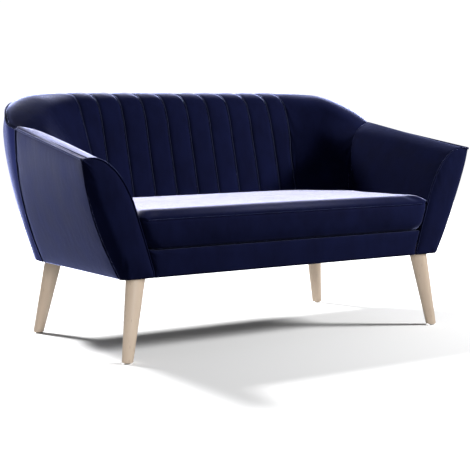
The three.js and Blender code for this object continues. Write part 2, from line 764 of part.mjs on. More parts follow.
function springs() {
  const PITCH = 150;
  const REACH = 24; // half the width of one bend
  const front = FRONT_RAIL_Y + BOARD / 2;
  const rear = REAR_RAIL_Y + BOARD / 2;
  const z = RAIL_TOP + SPRING_WIRE + GAP;
  for (let i = 0; i < SPRINGS; i++) {
    const x = (i - (SPRINGS - 1) / 2) * PITCH;
    const steps = SPRING_BENDS * 4;
    const points = Array.from({ length: steps + 1 }, (_, k) => {
      const t = k / steps;
      return [x + REACH * Math.sin(t * SPRING_BENDS * Math.PI), front + (rear - front) * t, z];
    });
    const section = new THREE.Shape().absarc(0, 0, SPRING_WIRE, 0, 2 * Math.PI, false);
    const wire = new THREE.ExtrudeGeometry(section, {
      extrudePath: smooth(points),
      steps,
      curveSegments: 3,
      bevelEnabled: false,
    });
    add(`seat_spring_${i + 1}`, wire, SPRING_STEEL);
  }
}

function linings() {
  const feltLow = RAIL_TOP + 2 * SPRING_WIRE + 2 * GAP + 0.5;
  add("seat_felt", box([-498, 16, feltLow], [498, 556, feltLow + 5]), FELT);

  const angle = Math.atan(BACK_LEAN);
  for (const [name, z] of [["lower", 455], ["middle", 535], ["upper", 600]]) {
    const strap = new THREE.BoxGeometry(780, 1.6, 60).rotateX(-angle);
    const depth = (BACK_PAD + 2) / Math.cos(angle);
    add(`back_webbing_${name}`, strap.translate(0, backDepth(z) + depth, z), WEBBING);
  }

  const half = [[594, 13], [588, 510], [580, 560], [558, 608], [530, 630]];
  const outline = [...half, ...half.map(([x, y]) => [-x, y]).reverse()];
  const shape = new THREE.Shape(outline.map(([x, y]) => new THREE.Vector2(x, y)));
  const sheet = new THREE.ExtrudeGeometry(shape, { depth: 1.2, bevelEnabled: false });
  let lining = solidOf(sheet.translate(0, 0, UNDERSIDE + 1));
  const reach = PLATE_HALF + 2;
  for (const { top } of LEGS)
    for (const x of [-top[0], top[0]]) {
      const opening = box([x - reach, top[1] - reach, 200], [x + reach, top[1] + reach, 260]);
      lining = lining.subtract(solidOf(opening));
    }
  add("dust_cover", geometryFrom(lining), LINING);
}

// ---------------------------------------------------------------- assembly

backPads();
armCovers();
outerBack();
seatCushion();
apron();
LEGS.forEach(leg);
baseFrame();
armFrame();
backFrame();
springs();
linings();

const extent = new THREE.Box3().setFromObject(sofa);
sofa.position.y = -(extent.min.y + extent.max.y) / 2;

export default sofa;
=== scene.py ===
import json
import math

import bpy
import numpy as np
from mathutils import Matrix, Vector, noise

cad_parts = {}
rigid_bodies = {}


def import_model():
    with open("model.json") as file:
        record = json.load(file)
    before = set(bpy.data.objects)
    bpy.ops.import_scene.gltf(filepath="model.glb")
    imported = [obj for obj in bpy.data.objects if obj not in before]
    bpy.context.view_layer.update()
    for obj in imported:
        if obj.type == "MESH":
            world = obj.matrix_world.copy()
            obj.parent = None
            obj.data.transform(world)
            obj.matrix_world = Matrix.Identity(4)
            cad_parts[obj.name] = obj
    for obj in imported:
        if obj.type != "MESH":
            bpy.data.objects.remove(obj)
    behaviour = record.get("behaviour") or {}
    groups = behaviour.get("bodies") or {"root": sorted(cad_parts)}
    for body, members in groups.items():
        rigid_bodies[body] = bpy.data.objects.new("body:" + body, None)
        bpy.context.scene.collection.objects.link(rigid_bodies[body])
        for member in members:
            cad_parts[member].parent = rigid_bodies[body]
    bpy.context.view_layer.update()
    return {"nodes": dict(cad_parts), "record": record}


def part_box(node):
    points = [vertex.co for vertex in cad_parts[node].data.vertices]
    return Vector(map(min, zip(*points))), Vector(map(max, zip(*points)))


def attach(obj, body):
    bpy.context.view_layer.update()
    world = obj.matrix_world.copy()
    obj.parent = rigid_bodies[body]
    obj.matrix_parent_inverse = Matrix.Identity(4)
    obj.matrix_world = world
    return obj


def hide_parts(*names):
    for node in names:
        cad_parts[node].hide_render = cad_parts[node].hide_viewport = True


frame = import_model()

# A two-seat velvet sofa with a channelled back, built round its wooden frame. Metres.
# The sofa's own depths run back from the plane of its arm fronts, and `FRONT` is that plane.

PANEL_LOW, PANEL_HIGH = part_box("arm_front_panel_right")
FRONT = PANEL_LOW.y
UNDERSIDE = PANEL_LOW.z
SEAT_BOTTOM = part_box("seat_cushion")[0].z
TIP = (PANEL_HIGH.x, 0.588)
CREST_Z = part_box("back_middle_pad")[1].z


# ---------------------------------------------------------------- small tools


def deselect():
    if bpy.context.object and bpy.context.object.mode != "OBJECT":
        bpy.ops.object.mode_set(mode="OBJECT")
    bpy.ops.object.select_all(action="DESELECT")


def pick(obj):
    deselect()
    obj.select_set(True)
    bpy.context.view_layer.objects.active = obj
    return obj


def modify(obj, kind, **settings):
    """Adds a modifier with its settings and applies it."""
    pick(obj)
    modifier = obj.modifiers.new(kind.title(), kind)
    for key, value in settings.items():
        setattr(modifier, key, value)
    bpy.ops.object.modifier_apply(modifier=modifier.name)
    return obj


def smooth_shade(obj, degrees=50):
    pick(obj)
    bpy.ops.object.shade_smooth_by_angle(angle=math.radians(degrees))


def face_outwards(obj):
    pick(obj)
    bpy.ops.object.mode_set(mode="EDIT")
    bpy.ops.mesh.select_all(action="SELECT")
    bpy.ops.mesh.remove_doubles(threshold=1e-5)
    bpy.ops.mesh.normals_make_consistent(inside=False)
    bpy.ops.object.mode_set(mode="OBJECT")


def get_points(obj):
    flat = np.empty(len(obj.data.vertices) * 3)
    obj.data.vertices.foreach_get("co", flat)
    return flat.reshape(-1, 3)


def set_points(obj, points):
    obj.data.vertices.foreach_set("co", np.ascontiguousarray(points, float).ravel())
    obj.data.update()


def mirrored(obj, name):
    """A copy of a right-hand piece for the left side."""
    pick(obj)
    bpy.ops.object.duplicate()
    copy = bpy.context.object
    copy.name = copy.data.name = name
    bpy.ops.transform.mirror(constraint_axis=(True, False, False), center_override=(0, 0, 0))
    bpy.ops.object.transform_apply(location=True, rotation=True, scale=True)
    face_outwards(copy)
    return copy


# ---------------------------------------------------------------- lines and surfaces


def bezier(controls, steps):
    """Points of a quadratic or cubic curve."""
    t = np.linspace(0, 1, steps + 1)[:, None]
    p = [np.array(c, float) for c in controls]
    while len(p) > 1:
        p = [a + (b - a) * t for a, b in zip(p, p[1:])]
    return p[0]


def lengths(line):
    steps = np.linalg.norm(np.diff(line, axis=0), axis=1)
    return np.concatenate([[0], np.cumsum(steps)])


def through(points, steps):
    """A smooth line through points, at even steps of its own length."""
    p = np.array(points, float)
    knots = lengths(p)
    slopes = np.gradient(p, knots, axis=0)
    fine = np.linspace(0, knots[-1], 60 * len(p))
    i = np.clip(np.searchsorted(knots, fine, side="right") - 1, 0, len(p) - 2)
    h = (knots[i + 1] - knots[i])[:, None]
    t = ((fine - knots[i]) / h[:, 0])[:, None]
    line = (
        (2 * t**3 - 3 * t**2 + 1) * p[i]
        + (t**3 - 2 * t**2 + t) * h * slopes[i]
        + (3 * t**2 - 2 * t**3) * p[i + 1]
        + (t**3 - t**2) * h * slopes[i + 1]
    )
    return resample(line, np.linspace(0, 1, steps + 1))


def resample(line, shares):
    """The points of a line at shares of its length."""
    run = lengths(line)
    at = np.asarray(shares) * run[-1]
    return np.stack([np.interp(at, run, line[:, k]) for k in range(line.shape[1])], axis=1)


def spaced(middle, edge=5, reach=0.04):
    """Shares from 0 to 1, closer together next to both ends."""
    close = reach * (np.arange(edge) / edge) ** 1.6
    inner = np.linspace(reach, 1 - reach, middle + 1)
    return np.concatenate([close, inner, 1 - close[::-1]])


def normals_of(points, towards):
    """The unit normals of a grid of points, on the side that `towards` points to."""
    across = np.gradient(points, axis=1)
    along = np.gradient(points, axis=0)
    normal = np.cross(along, across)
    normal /= np.maximum(np.linalg.norm(normal, axis=2, keepdims=True), 1e-12)
    wanted = towards(points) if callable(towards) else np.array(towards, float)
    return normal if (normal * wanted).sum() > 0 else -normal


def edge_runs(points):
    """How far each point is from the grid's first row, last row, first column and last column."""
    down = np.linalg.norm(np.diff(points, axis=0), axis=2).cumsum(axis=0)
    down = np.concatenate([np.zeros((1, points.shape[1])), down])
    across = np.linalg.norm(np.diff(points, axis=1), axis=2).cumsum(axis=1)
    across = np.concatenate([np.zeros((points.shape[0], 1)), across], axis=1)
    return down, down[-1:] - down, across, across[:, -1:] - across


def fall(distance, radius):
    """How far a padded edge has rolled in, at a distance from its seam."""
    inside = np.clip(radius - distance, 0, radius)
    return radius - np.sqrt(radius**2 - inside**2)


def puckers(points, distance, size, depth, seed):
    """Small gathers next to a seam, which fade out away from it."""
    flat = points.reshape(-1, 3)
    values = [noise.noise(Vector(p) / size + Vector((seed, 0, 0))) for p in flat]
    ripple = np.array(values).reshape(distance.shape)
    return depth * ripple * np.exp(-distance / 0.02)


def lay_grid(obj, points):
    """Moves a 2 m grid's points on to a grid of places."""
    rows, columns = points.shape[:2]
    own = get_points(obj)
    column = np.rint((own[:, 0] + 1) / 2 * (columns - 1)).astype(int)
    row = np.rint((own[:, 1] + 1) / 2 * (rows - 1)).astype(int)
    set_points(obj, points[row, column])


def ring(rows, columns):
    """Marks the two outermost rows and columns of a grid."""
    marked = np.ones((rows, columns), bool)
    marked[2:-2, 2:-2] = False
    return marked


def air_moves(obj, held, rise, frames):
    """How far cloth and air move each point, at most by the rise; the points that are held stay."""
    rest = get_points(obj)
    hold = obj.vertex_groups.new(name="sewn")
    hold.add([int(index) for index in np.nonzero(held)[0]], 1.0, "REPLACE")
    pick(obj)
    cover = obj.modifiers.new("Cloth", "CLOTH")
    cover.settings.vertex_group_mass = "sewn"
    cover.settings.use_pressure = True
    cover.settings.uniform_pressure_force = 4
    cover.settings.effector_weights.gravity = 0
    cover.settings.quality = 4
    for number in range(1, frames + 1):
        bpy.context.scene.frame_set(number)
    swollen = obj.evaluated_get(bpy.context.evaluated_depsgraph_get())
    flat = np.empty(len(swollen.data.vertices) * 3)
    swollen.data.vertices.foreach_get("co", flat)
    obj.modifiers.remove(cover)
    bpy.context.scene.frame_set(1)
    obj.vertex_groups.clear()
    move = flat.reshape(-1, 3) - rest
    size = np.linalg.norm(move, axis=1, keepdims=True)
    return move * rise * np.tanh(size / rise) / np.maximum(size, 1e-9)


SHEET_FRAMES, CUSHION_FRAMES = 12, 16


def swell(obj, rows, columns, rise):
    """Puffs a sheet's outside with cloth and air; its inside and its sewn rim are held."""
    rest = get_points(obj)
    held = np.ones(len(rest), bool)
    held[: rows * columns] = ring(rows, columns).ravel()
    set_points(obj, rest + air_moves(obj, held, rise, SHEET_FRAMES))


def skin(name, points, thickness, outside, rise=0):
    """A padded sheet: a grid laid on the points, given a thickness away from its outside."""
    rows, columns = points.shape[:2]
    deselect()
    bpy.ops.mesh.primitive_grid_add(x_subdivisions=columns - 1, y_subdivisions=rows - 1, size=2)
    obj = bpy.context.object
    obj.name = obj.data.name = name
    lay_grid(obj, points)
    middle = obj.data.polygons[len(obj.data.polygons) // 2 + columns // 2]
    if middle.normal.dot(Vector(outside)) < 0:
        pick(obj)
        bpy.ops.object.mode_set(mode="EDIT")
        bpy.ops.mesh.select_all(action="SELECT")
        bpy.ops.mesh.flip_normals()
        bpy.ops.object.mode_set(mode="OBJECT")
    modify(obj, "SOLIDIFY", thickness=thickness, offset=-1, use_even_offset=False)
    face_outwards(obj)
    if rise:
        swell(obj, rows, columns, rise)
    modify(obj, "SUBSURF", levels=1, render_levels=1, boundary_smooth="PRESERVE_CORNERS")
    smooth_shade(obj)
    return obj


def tube(name, line, radius, sides=10):
    """Piping: a round cord in its cloth, along a line, with round ends."""
    curve = bpy.data.curves.new(name, "CURVE")
    curve.dimensions = "3D"
    curve.bevel_depth = radius
    curve.bevel_resolution = sides // 4
    curve.use_fill_caps = True
    spline = curve.splines.new("POLY")
    spline.points.add(len(line) - 1)
    for point, place in zip(spline.points, line):
        point.co = (*place, 1)
    obj = bpy.data.objects.new(name, curve)
    bpy.context.collection.objects.link(obj)
    pick(obj)
    bpy.ops.object.convert(target="MESH")
    obj = bpy.context.object
    face_outwards(obj)
    smooth_shade(obj, 70)
    return obj


def keep(obj, finish, slot, *nodes, fill=None):
    """Fastens a finished piece to the sofa, in its cloth or finish, in place of its CAD solids."""
    obj.data.materials.clear()
    obj.data.materials.append(finish)
    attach(obj, "root")
    if nodes:
        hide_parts(*nodes)
    return obj


def keep_pair(right, finish, slot, node_name=None, fill=None):
    """Fastens a right-hand piece and its mirrored copy on the left."""
    left = mirrored(right, right.name.replace("right", "left"))
    for obj, side in ((right, "right"), (left, "left")):
        nodes = [f"{node_name}_{side}"] if node_name else []
        keep(obj, finish, slot, *nodes, fill=fill)


# ---------------------------------------------------------------- shader groups


def new_group(name, inputs, outputs):
    """An empty shader group with named sockets, each given as name, kind and value."""
    group = bpy.data.node_groups.new(name, "ShaderNodeTree")
    for title, kind, value in inputs:
        socket = group.interface.new_socket(title, in_out="INPUT", socket_type=kind)
        if value is not None:
            socket.default_value = value
    for title, kind in outputs:
        group.interface.new_socket(title, in_out="OUTPUT", socket_type=kind)
    return group, group.nodes.new("NodeGroupInput"), group.nodes.new("NodeGroupOutput")


def node(tree, kind, links=(), values=None, **settings):
    """A node with its settings, its sockets' values, and links from other sockets into its own."""
    made = tree.nodes.new("ShaderNode" + kind)
    for key, value in settings.items():
        setattr(made, key, value)
    for socket, value in (values or {}).items():
        made.inputs[socket].default_value = value
    for target, source in links:
        tree.links.new(source, made.inputs[target])
    return made


FLOAT = "NodeSocketFloat"
COLOUR = "NodeSocketColor"
POINT = "NodeSocketVector"


def pile_group():
    """Short cut pile: fine tufts, and soft patches where the pile has been brushed another way."""
    inputs = [("Vector", POINT, None), ("Tuft Size", FLOAT, 0.0012), ("Patch Size", FLOAT, 0.05)]
    outputs = [("Tufts", FLOAT), ("Patches", FLOAT), ("Streaks", FLOAT)]
    group, source, sink = new_group("velvet_pile", inputs, outputs)
    vector, tuft, patch = source.outputs[:3]

    def noise_at(size, stretch, detail, roughness):
        scaled = node(group, "VectorMath", [(0, vector)], {1: stretch}, operation="MULTIPLY")
        turned = node(group, "Math", [(1, size)], {0: 1.0}, operation="DIVIDE")
        links = [("Vector", scaled.outputs[0]), ("Scale", turned.outputs[0])]
        return node(group, "TexNoise", links, {"Detail": detail, "Roughness": roughness}).outputs[0]

    group.links.new(noise_at(tuft, (1, 1, 0.8), 2, 0.6), sink.inputs[0])
    patches = noise_at(patch, (1, 1, 0.7), 4, 0.55)
    soft = node(group, "MapRange", [(0, patches)], {"From Min": 0.3, "From Max": 0.7})
    group.links.new(soft.outputs[0], sink.inputs[1])
    fine = node(group, "Math", [(0, patch)], {1: 0.25}, operation="MULTIPLY")
    streak = noise_at(fine.outputs[0], (1, 1, 0.3), 3, 0.5)
    group.links.new(streak, sink.inputs[2])
    return group


def grain_group():
    """Wood grain that runs up Z: long fibres, growth bands and short pores."""
    inputs = [("Vector", POINT, None), ("Fibre", FLOAT, 160.0), ("Band", FLOAT, 22.0)]
    outputs = [("Fibres", FLOAT), ("Bands", FLOAT), ("Pores", FLOAT)]
    group, source, sink = new_group("wood_grain", inputs, outputs)
    vector, fibre, band = source.outputs[:3]

    def stretched(factor):
        made = node(group, "VectorMath", [(0, vector)], {1: (1, 1, factor)}, operation="MULTIPLY")
        return made.outputs[0]

    fibres = node(group, "TexNoise", [("Vector", stretched(0.06)), ("Scale", fibre)], {"Detail": 5})
    group.links.new(fibres.outputs[0], sink.inputs[0])
    links = [("Vector", stretched(0.12)), ("Scale", band)]
    bands = node(group, "TexNoise", links, {"Detail": 3, "Distortion": 1.2})
    group.links.new(bands.outputs[0], sink.inputs[1])
    pores = node(group, "TexVoronoi", [("Vector", stretched(0.1)), ("Scale", fibre)], feature="F1")
    dots = node(group, "MapRange", [(0, pores.outputs[0])], {"From Min": 0.02, "From Max": 0.16})
    group.links.new(dots.outputs[0], sink.inputs[2])
    return group


def weave_group():
    """A plain weave of crossing threads."""
    inputs = [("Vector", POINT, None), ("Thread", FLOAT, 0.002)]
    group, source, sink = new_group("plain_weave", inputs, [("Height", FLOAT)])
    turned = node(group, "Math", [(1, source.outputs[1])], {0: math.pi}, operation="DIVIDE")
    waves = []
    links = [(0, source.outputs[0]), (3, turned.outputs[0])]
    scaled = node(group, "VectorMath", links, operation="SCALE")
    parts = node(group, "SeparateXYZ", [(0, scaled.outputs[0])])
    across = node(group, "Math", [(0, parts.outputs[1]), (1, parts.outputs[2])], operation="ADD")
    for axis in (parts.outputs[0], across.outputs[0]):
        waves.append(node(group, "Math", [(0, axis)], operation="SINE").outputs[0])
    crossed = node(group, "Math", [(0, waves[0]), (1, waves[1])], operation="MULTIPLY")
    raised = node(group, "Math", [(0, crossed.outputs[0])], operation="ABSOLUTE")
    group.links.new(raised.outputs[0], sink.inputs[0])
    return group


PILE = pile_group()
GRAIN = grain_group()
WEAVE = weave_group()


# ---------------------------------------------------------------- finishes


def new_material(name, **constants):
    """A material, its tree, its shader and the object's own coordinates."""
    material = bpy.data.materials.new(name)
    material.use_nodes = True
    tree = material.node_tree
    shader = tree.nodes["Principled BSDF"]
    for key, value in constants.items():
        shader.inputs[key.replace("_", " ")].default_value = value
    place = tree.nodes.new("ShaderNodeTexCoord").outputs["Object"]
    return material, tree, shader, place


def grouped(tree, group, place, **values):
    made = tree.nodes.new("ShaderNodeGroup")
    made.node_tree = group
    tree.links.new(place, made.inputs["Vector"])
    for key, value in values.items():
        made.inputs[key.replace("_", " ")].default_value = value
    return made


def mix_colours(tree, factor, first, second):
    """Goes from one colour to another with a factor; each colour is a value or a socket."""
    made = tree.nodes.new("ShaderNodeMix")
    made.data_type = "RGBA"
    tree.links.new(factor, made.inputs[0])
    for index, colour in ((6, first), (7, second)):
        if isinstance(colour, tuple):
            made.inputs[index].default_value = (*colour, 1)
        else:
            tree.links.new(colour, made.inputs[index])
    return made.outputs[2]


def spread(tree, socket, low, high):
    """A 0 to 1 value stretched between two others."""
    return node(tree, "MapRange", [(0, socket)], {"To Min": low, "To Max": high}).outputs[0]


def bump(tree, height, strength, distance, under=None):
    """Raises the surface with a height, on top of another bump if one is given."""
    links = [("Height", height)] + ([("Normal", under)] if under else [])
    return node(tree, "Bump", links, {"Strength": strength, "Distance": distance}).outputs[0]


def bumped(tree, shader, height, strength, distance):
    tree.links.new(bump(tree, height, strength, distance), shader.inputs["Normal"])


def velvet(name, deep, soft, streak):
    """Navy velvet: nearly black-blue face on, and pale where the pile is seen edge on."""
    material, tree, shader, place = new_material(
        name,
        Sheen_Weight=1.0,
        Sheen_Roughness=0.2,
        Sheen_Tint=(0.5, 0.56, 1.0, 1),
        Specular_IOR_Level=0.012,
    )
    pile = grouped(tree, PILE, place, Tuft_Size=0.0014, Patch_Size=0.07)
    patched = mix_colours(tree, pile.outputs["Patches"], deep, soft)
    streaked = mix_colours(tree, spread(tree, pile.outputs["Streaks"], 0.0, 0.5), patched, streak)
    tree.links.new(streaked, shader.inputs["Base Color"])
    tree.links.new(spread(tree, pile.outputs["Patches"], 0.82, 0.95), shader.inputs["Roughness"])
    brushed = bump(tree, pile.outputs["Streaks"], 0.3, 0.002)
    tufted = bump(tree, pile.outputs["Tufts"], 0.35, 0.0006, brushed)
    tree.links.new(tufted, shader.inputs["Normal"])
    return material


def wood(name, pale, dark, pore, roughness, fibre=160.0, band=22.0):
    material, tree, shader, place = new_material(name)
    grain = grouped(tree, GRAIN, place, Fibre=fibre, Band=band)
    body = mix_colours(tree, grain.outputs["Bands"], pale, dark)
    fine = mix_colours(tree, spread(tree, grain.outputs["Fibres"], 0.0, 0.45), body, dark)
    pored = mix_colours(tree, grain.outputs["Pores"], pore, fine)
    tree.links.new(pored, shader.inputs["Base Color"])
    low, high = roughness
    tree.links.new(spread(tree, grain.outputs["Fibres"], low, high), shader.inputs["Roughness"])
    bumped(tree, shader, grain.outputs["Fibres"], 0.12, 0.0004)
    return material


def steel(name, colour, roughness):
    material, tree, shader, place = new_material(name, Metallic=1.0)
    speckle = node(tree, "TexNoise", [("Vector", place)], {"Scale": 90, "Detail": 5})
    worn = tuple(c * 0.7 for c in colour)
    tree.links.new(mix_colours(tree, speckle.outputs[0], colour, worn), shader.inputs["Base Color"])
    low, high = roughness
    tree.links.new(spread(tree, speckle.outputs[0], low, high), shader.inputs["Roughness"])
    bumped(tree, shader, speckle.outputs[0], 0.1, 0.0003)
    return material


def cloth(name, colour, thread, depth):
    material, tree, shader, place = new_material(name, Roughness=0.92, Specular_IOR_Level=0.2)
    weave = grouped(tree, WEAVE, place, Thread=thread)
    pale = tuple(min(c * 1.8 + 0.01, 1) for c in colour)
    tree.links.new(mix_colours(tree, weave.outputs[0], colour, pale), shader.inputs["Base Color"])
    bumped(tree, shader, weave.outputs[0], 0.5, depth)
    return material


def nylon():
    material, tree, shader, place = new_material("nylon", Roughness=0.5)
    mottle = node(tree, "TexNoise", [("Vector", place)], {"Scale": 300})
    colour = mix_colours(tree, mottle.outputs[0], (0.78, 0.76, 0.72), (0.66, 0.64, 0.6))
    tree.links.new(colour, shader.inputs["Base Color"])
    bumped(tree, shader, mottle.outputs[0], 0.15, 0.0002)
    return material


VELVET = velvet(
    "navy_velvet", (0.0019, 0.0025, 0.0122), (0.0036, 0.0049, 0.0216), (0.0048, 0.0063, 0.026)
)
# A lighter navy for the fine seam cords: a painted highlight, standing in for the light the pile
# catches along each channel seam.
PAINTED_HIGHLIGHT_CORD = velvet("navy_cord", (0.016, 0.019, 0.045), (0.024, 0.028, 0.062), (0.03, 0.034, 0.075))
BEECH = wood("beech", (0.84, 0.70, 0.56), (0.70, 0.54, 0.40), (0.5, 0.36, 0.25), (0.36, 0.5))
PINE = wood(
    "pine", (0.74, 0.55, 0.33), (0.55, 0.35, 0.17), (0.5, 0.3, 0.15), (0.6, 0.75), 90.0, 14.0
)
PLYWOOD = wood(
    "plywood", (0.62, 0.44, 0.26), (0.48, 0.31, 0.17), (0.42, 0.27, 0.15), (0.6, 0.75), 120.0, 30.0
)
ZINC = steel("zinc_plate", (0.62, 0.63, 0.65), (0.25, 0.4))
SPRING_STEEL = steel("spring_steel", (0.24, 0.25, 0.27), (0.3, 0.45))
FELT = cloth("felt", (0.33, 0.33, 0.32), 0.0018, 0.0006)
WEBBING = cloth("elastic_webbing", (0.03, 0.03, 0.033), 0.003, 0.0008)
LINING = cloth("black_lining", (0.012, 0.012, 0.012), 0.0012, 0.0002)
NYLON = nylon()

# Every CAD piece that stays gets the finish of its own slot.
FINISHES = {
    "velvet": VELVET,
    "beech": BEECH,
    "pine": PINE,
    "plywood": PLYWOOD,
    "zinc": ZINC,
    "spring_steel": SPRING_STEEL,
    "felt": FELT,
    "webbing": WEBBING,
    "lining": LINING,
    "nylon": NYLON,
}
for part in frame["record"]["subparts"]:
    solid = frame["nodes"][part["node"]]
    solid.data.materials.clear()
    solid.data.materials.append(FINISHES[part["material_slot"]])


# ---------------------------------------------------------------- the arm's lines

LOW = 0.318  # the cloth of the arms and the back runs down to here, inside the seat


def upright(line, y):
    """A line in x and z, placed at a depth or depths behind the arm fronts."""
    line = np.asarray(line)
    depth = np.broadcast_to(y, len(line))
    return np.stack([line[:, 0], FRONT + depth, line[:, 1]], axis=1)


JOIN = np.array([0.700, 0.491, 0.664])  # where arm, back and side meet at the top
TOP_STEPS, ROLL_STEPS, FACE_STEPS = 6, 40, 16  # points over an arm, from its edge to its foot
SEAM_DEPTH = 0.485


def cover_line(tip, crest, roll_in, roll_down, knee, low):
    """From the arm's outer top edge over its roll and down the inside."""
    top = bezier([tip, crest], TOP_STEPS)[:-1]
    roll = bezier([crest, roll_in, roll_down, knee], ROLL_STEPS)
    face = bezier([knee, low], FACE_STEPS)[1:]
    return np.concatenate([top, roll, face])


ARM_TOP = (JOIN[0], JOIN[2])
FRONT_COVER = cover_line(
    TIP, (0.705, 0.593), (0.645, 0.593), (0.590, 0.525), (0.563, 0.440), (0.523, LOW)
)
REAR_COVER = cover_line(
    ARM_TOP, (0.697, 0.673), (0.607, 0.655), (0.555, 0.625), (0.550, 0.500), (0.540, LOW)
)
PAST_TOP = np.arange(len(REAR_COVER)) - TOP_STEPS
ROLL_SHARE = np.clip(PAST_TOP / ROLL_STEPS, 0, 1)
FACE_SHARE = np.clip((PAST_TOP - ROLL_STEPS) / FACE_STEPS, 0, 1)
SEAM_DEPTHS = SEAM_DEPTH - 0.09 * ROLL_SHARE**0.75 - 0.02 * FACE_SHARE
SEAM_DEPTHS[:TOP_STEPS] = np.linspace(JOIN[1], SEAM_DEPTH, TOP_STEPS + 1)[:-1]

ARM_FOOT = np.array([
    (PANEL_LOW.x, UNDERSIDE),
    (PANEL_LOW.x + 0.001, UNDERSIDE + 0.016),
    (0.523, LOW),
])  # the inner edge of an arm's front below its cover
FRONT_OUTER = bezier([(PANEL_LOW.x + 0.102, UNDERSIDE), (0.703, 0.415), TIP], 40)
SIDE_FOOT = 0.601  # how far out the side seam is at the underside
REAR_OUTER = bezier([(SIDE_FOOT, UNDERSIDE), (0.704, 0.457), ARM_TOP], 40)


def seam_depth(z):
    """How far back the side seam is at a height."""
    return 0.516 - 0.025 * (z - UNDERSIDE) / (JOIN[2] - UNDERSIDE)


def side_reach(z):
    """How far out the side seam is at a height."""
    d = z - UNDERSIDE
    return SIDE_FOOT + 0.48 * d - 0.58 * d * d


# ---------------------------------------------------------------- the back's lines

SEAT_LINE = 0.431
BACK_DEPTH = 0.541
LEAN = 0.255
CORNER_X, CORNER_A, CORNER_B = 0.300, 0.275, 0.291


def back_depth(z):
    return BACK_DEPTH + LEAN * (z - SEAT_LINE)


def inside_point(angle, z):
    """A point on the inside of the back: straight in the middle, an ellipse round each corner."""
    a = CORNER_A + max(z - 0.56, 0) * 0.35
    depth = back_depth(z) - CORNER_B * (1 - math.sin(angle))
    return np.array([CORNER_X + a * math.cos(angle), depth, z])


CREST_LINE = through(
    [
        (0, 0.699, CREST_Z),
        (0.3, 0.699, CREST_Z),
        (0.418, 0.693, CREST_Z),
        (0.510, 0.668, 0.771),
        (0.590, 0.628, 0.763),
        (0.648, 0.578, 0.739),
        (0.684, 0.530, 0.704),
        (0.697, 0.485, 0.673),
    ],
    400,
)
EDGE_LINE = through(
    [
        (0, 0.768, 0.750),
        (0.3, 0.768, 0.750),
        (0.440, 0.766, 0.751),
        (0.560, 0.728, 0.748),
        (0.650, 0.650, 0.738),
        (0.697, 0.573, 0.706),
        (0.709, 0.528, 0.677),
        JOIN,
    ],
    400,
)
SHOULDER_LINE = through(
    [
        (0, back_depth(0.7), 0.700),
        (0.3, back_depth(0.7), 0.700),
        (0.414, 0.600, 0.700),
        (0.480, 0.576, 0.700),
        (0.540, 0.543, 0.698),
        (0.590, 0.505, 0.689),
        (0.622, 0.470, 0.674),
        (0.650, 0.459, 0.664),
    ],
    400,
)
LINES = {"edge": EDGE_LINE, "crest": CREST_LINE, "shoulder": SHOULDER_LINE}
# How far from the middle the last channel seam crosses each line.
SEAM_X = {"edge": 0.436, "crest": 0.418, "shoulder": 0.414}


def share_of_seam(line, x):
    run = lengths(line)
    return np.interp(x, line[:, 0], run) / run[-1]


SEAM_ON = {key: share_of_seam(line, SEAM_X[key]) for key, line in LINES.items()}


def at_share(line, share):
    return resample(line, [share])[0]


BACK_STEPS = 64


def back_line(place, angle):
    """A line down the back at a place from the last channel seam, 0, to the arm, 1."""
    return profile(*(at_share(LINES[key], s + (1 - s) * place) for key, s in SEAM_ON.items()), angle)


def profile(edge, crest, shoulder, angle):
    """From the piped edge over the roll and down the inside."""
    roll = []
    for f in (0.35, 0.72):
        straight = crest + (shoulder - crest) * f
        corner = np.array([shoulder[0], shoulder[1], crest[2]])
        roll.append(straight + (corner - straight) * math.sin(f * math.pi) * 0.4)
    rear = crest + (edge - crest) * 0.5 + np.array([0, 0, 0.35 * (crest[2] - edge[2])])
    face = [inside_point(angle, z) for z in (0.62, 0.56, 0.5, 0.41, LOW)]
    return through([edge, rear, crest, *roll, shoulder, *face], BACK_STEPS)


SEAM_ANGLE = math.acos((0.400 - CORNER_X) / CORNER_A)
ARM_ANGLE = math.radians(25)

CENTRE_PROFILE = profile(
    np.array([CORNER_X, 0.768, 0.750]),
    np.array([CORNER_X, 0.699, CREST_Z]),
    np.array([CORNER_X, back_depth(0.7), 0.7]),
    math.pi / 2,
)
CENTRE_PROFILE[:, 0] = 0
SEAM_PROFILE = back_line(0, SEAM_ANGLE)


def placed(points):
    """Own depths become depths in the frame."""
    return points + np.array([0, FRONT, 0])


# ---------------------------------------------------------------- the channelled middle of the back

CHANNELS = 10
CHANNEL = 0.0852
SEAM_DEEP = 0.0075
SEAM_REACH = 0.017  # how far from a channel's seam its padding is full
CROWN = 0.0025
SEAM_PER = 16  # grid steps across a channel
LAST_SEAM = CHANNELS / 2 - 1  # the last seam inside the cover's edge, in channels from the middle


def channel_places():
    """Places across the channels, in channels from the middle, closer together next to the seams."""
    steps = np.array([0, 0.02, 0.045, 0.08, 0.13, 0.2, 0.29, 0.39, 0.5])
    steps = np.concatenate([steps, 1 - steps[-2:0:-1]])
    whole = np.concatenate([steps + k for k in range(CHANNELS)] + [[CHANNELS]])
    return whole - CHANNELS / 2


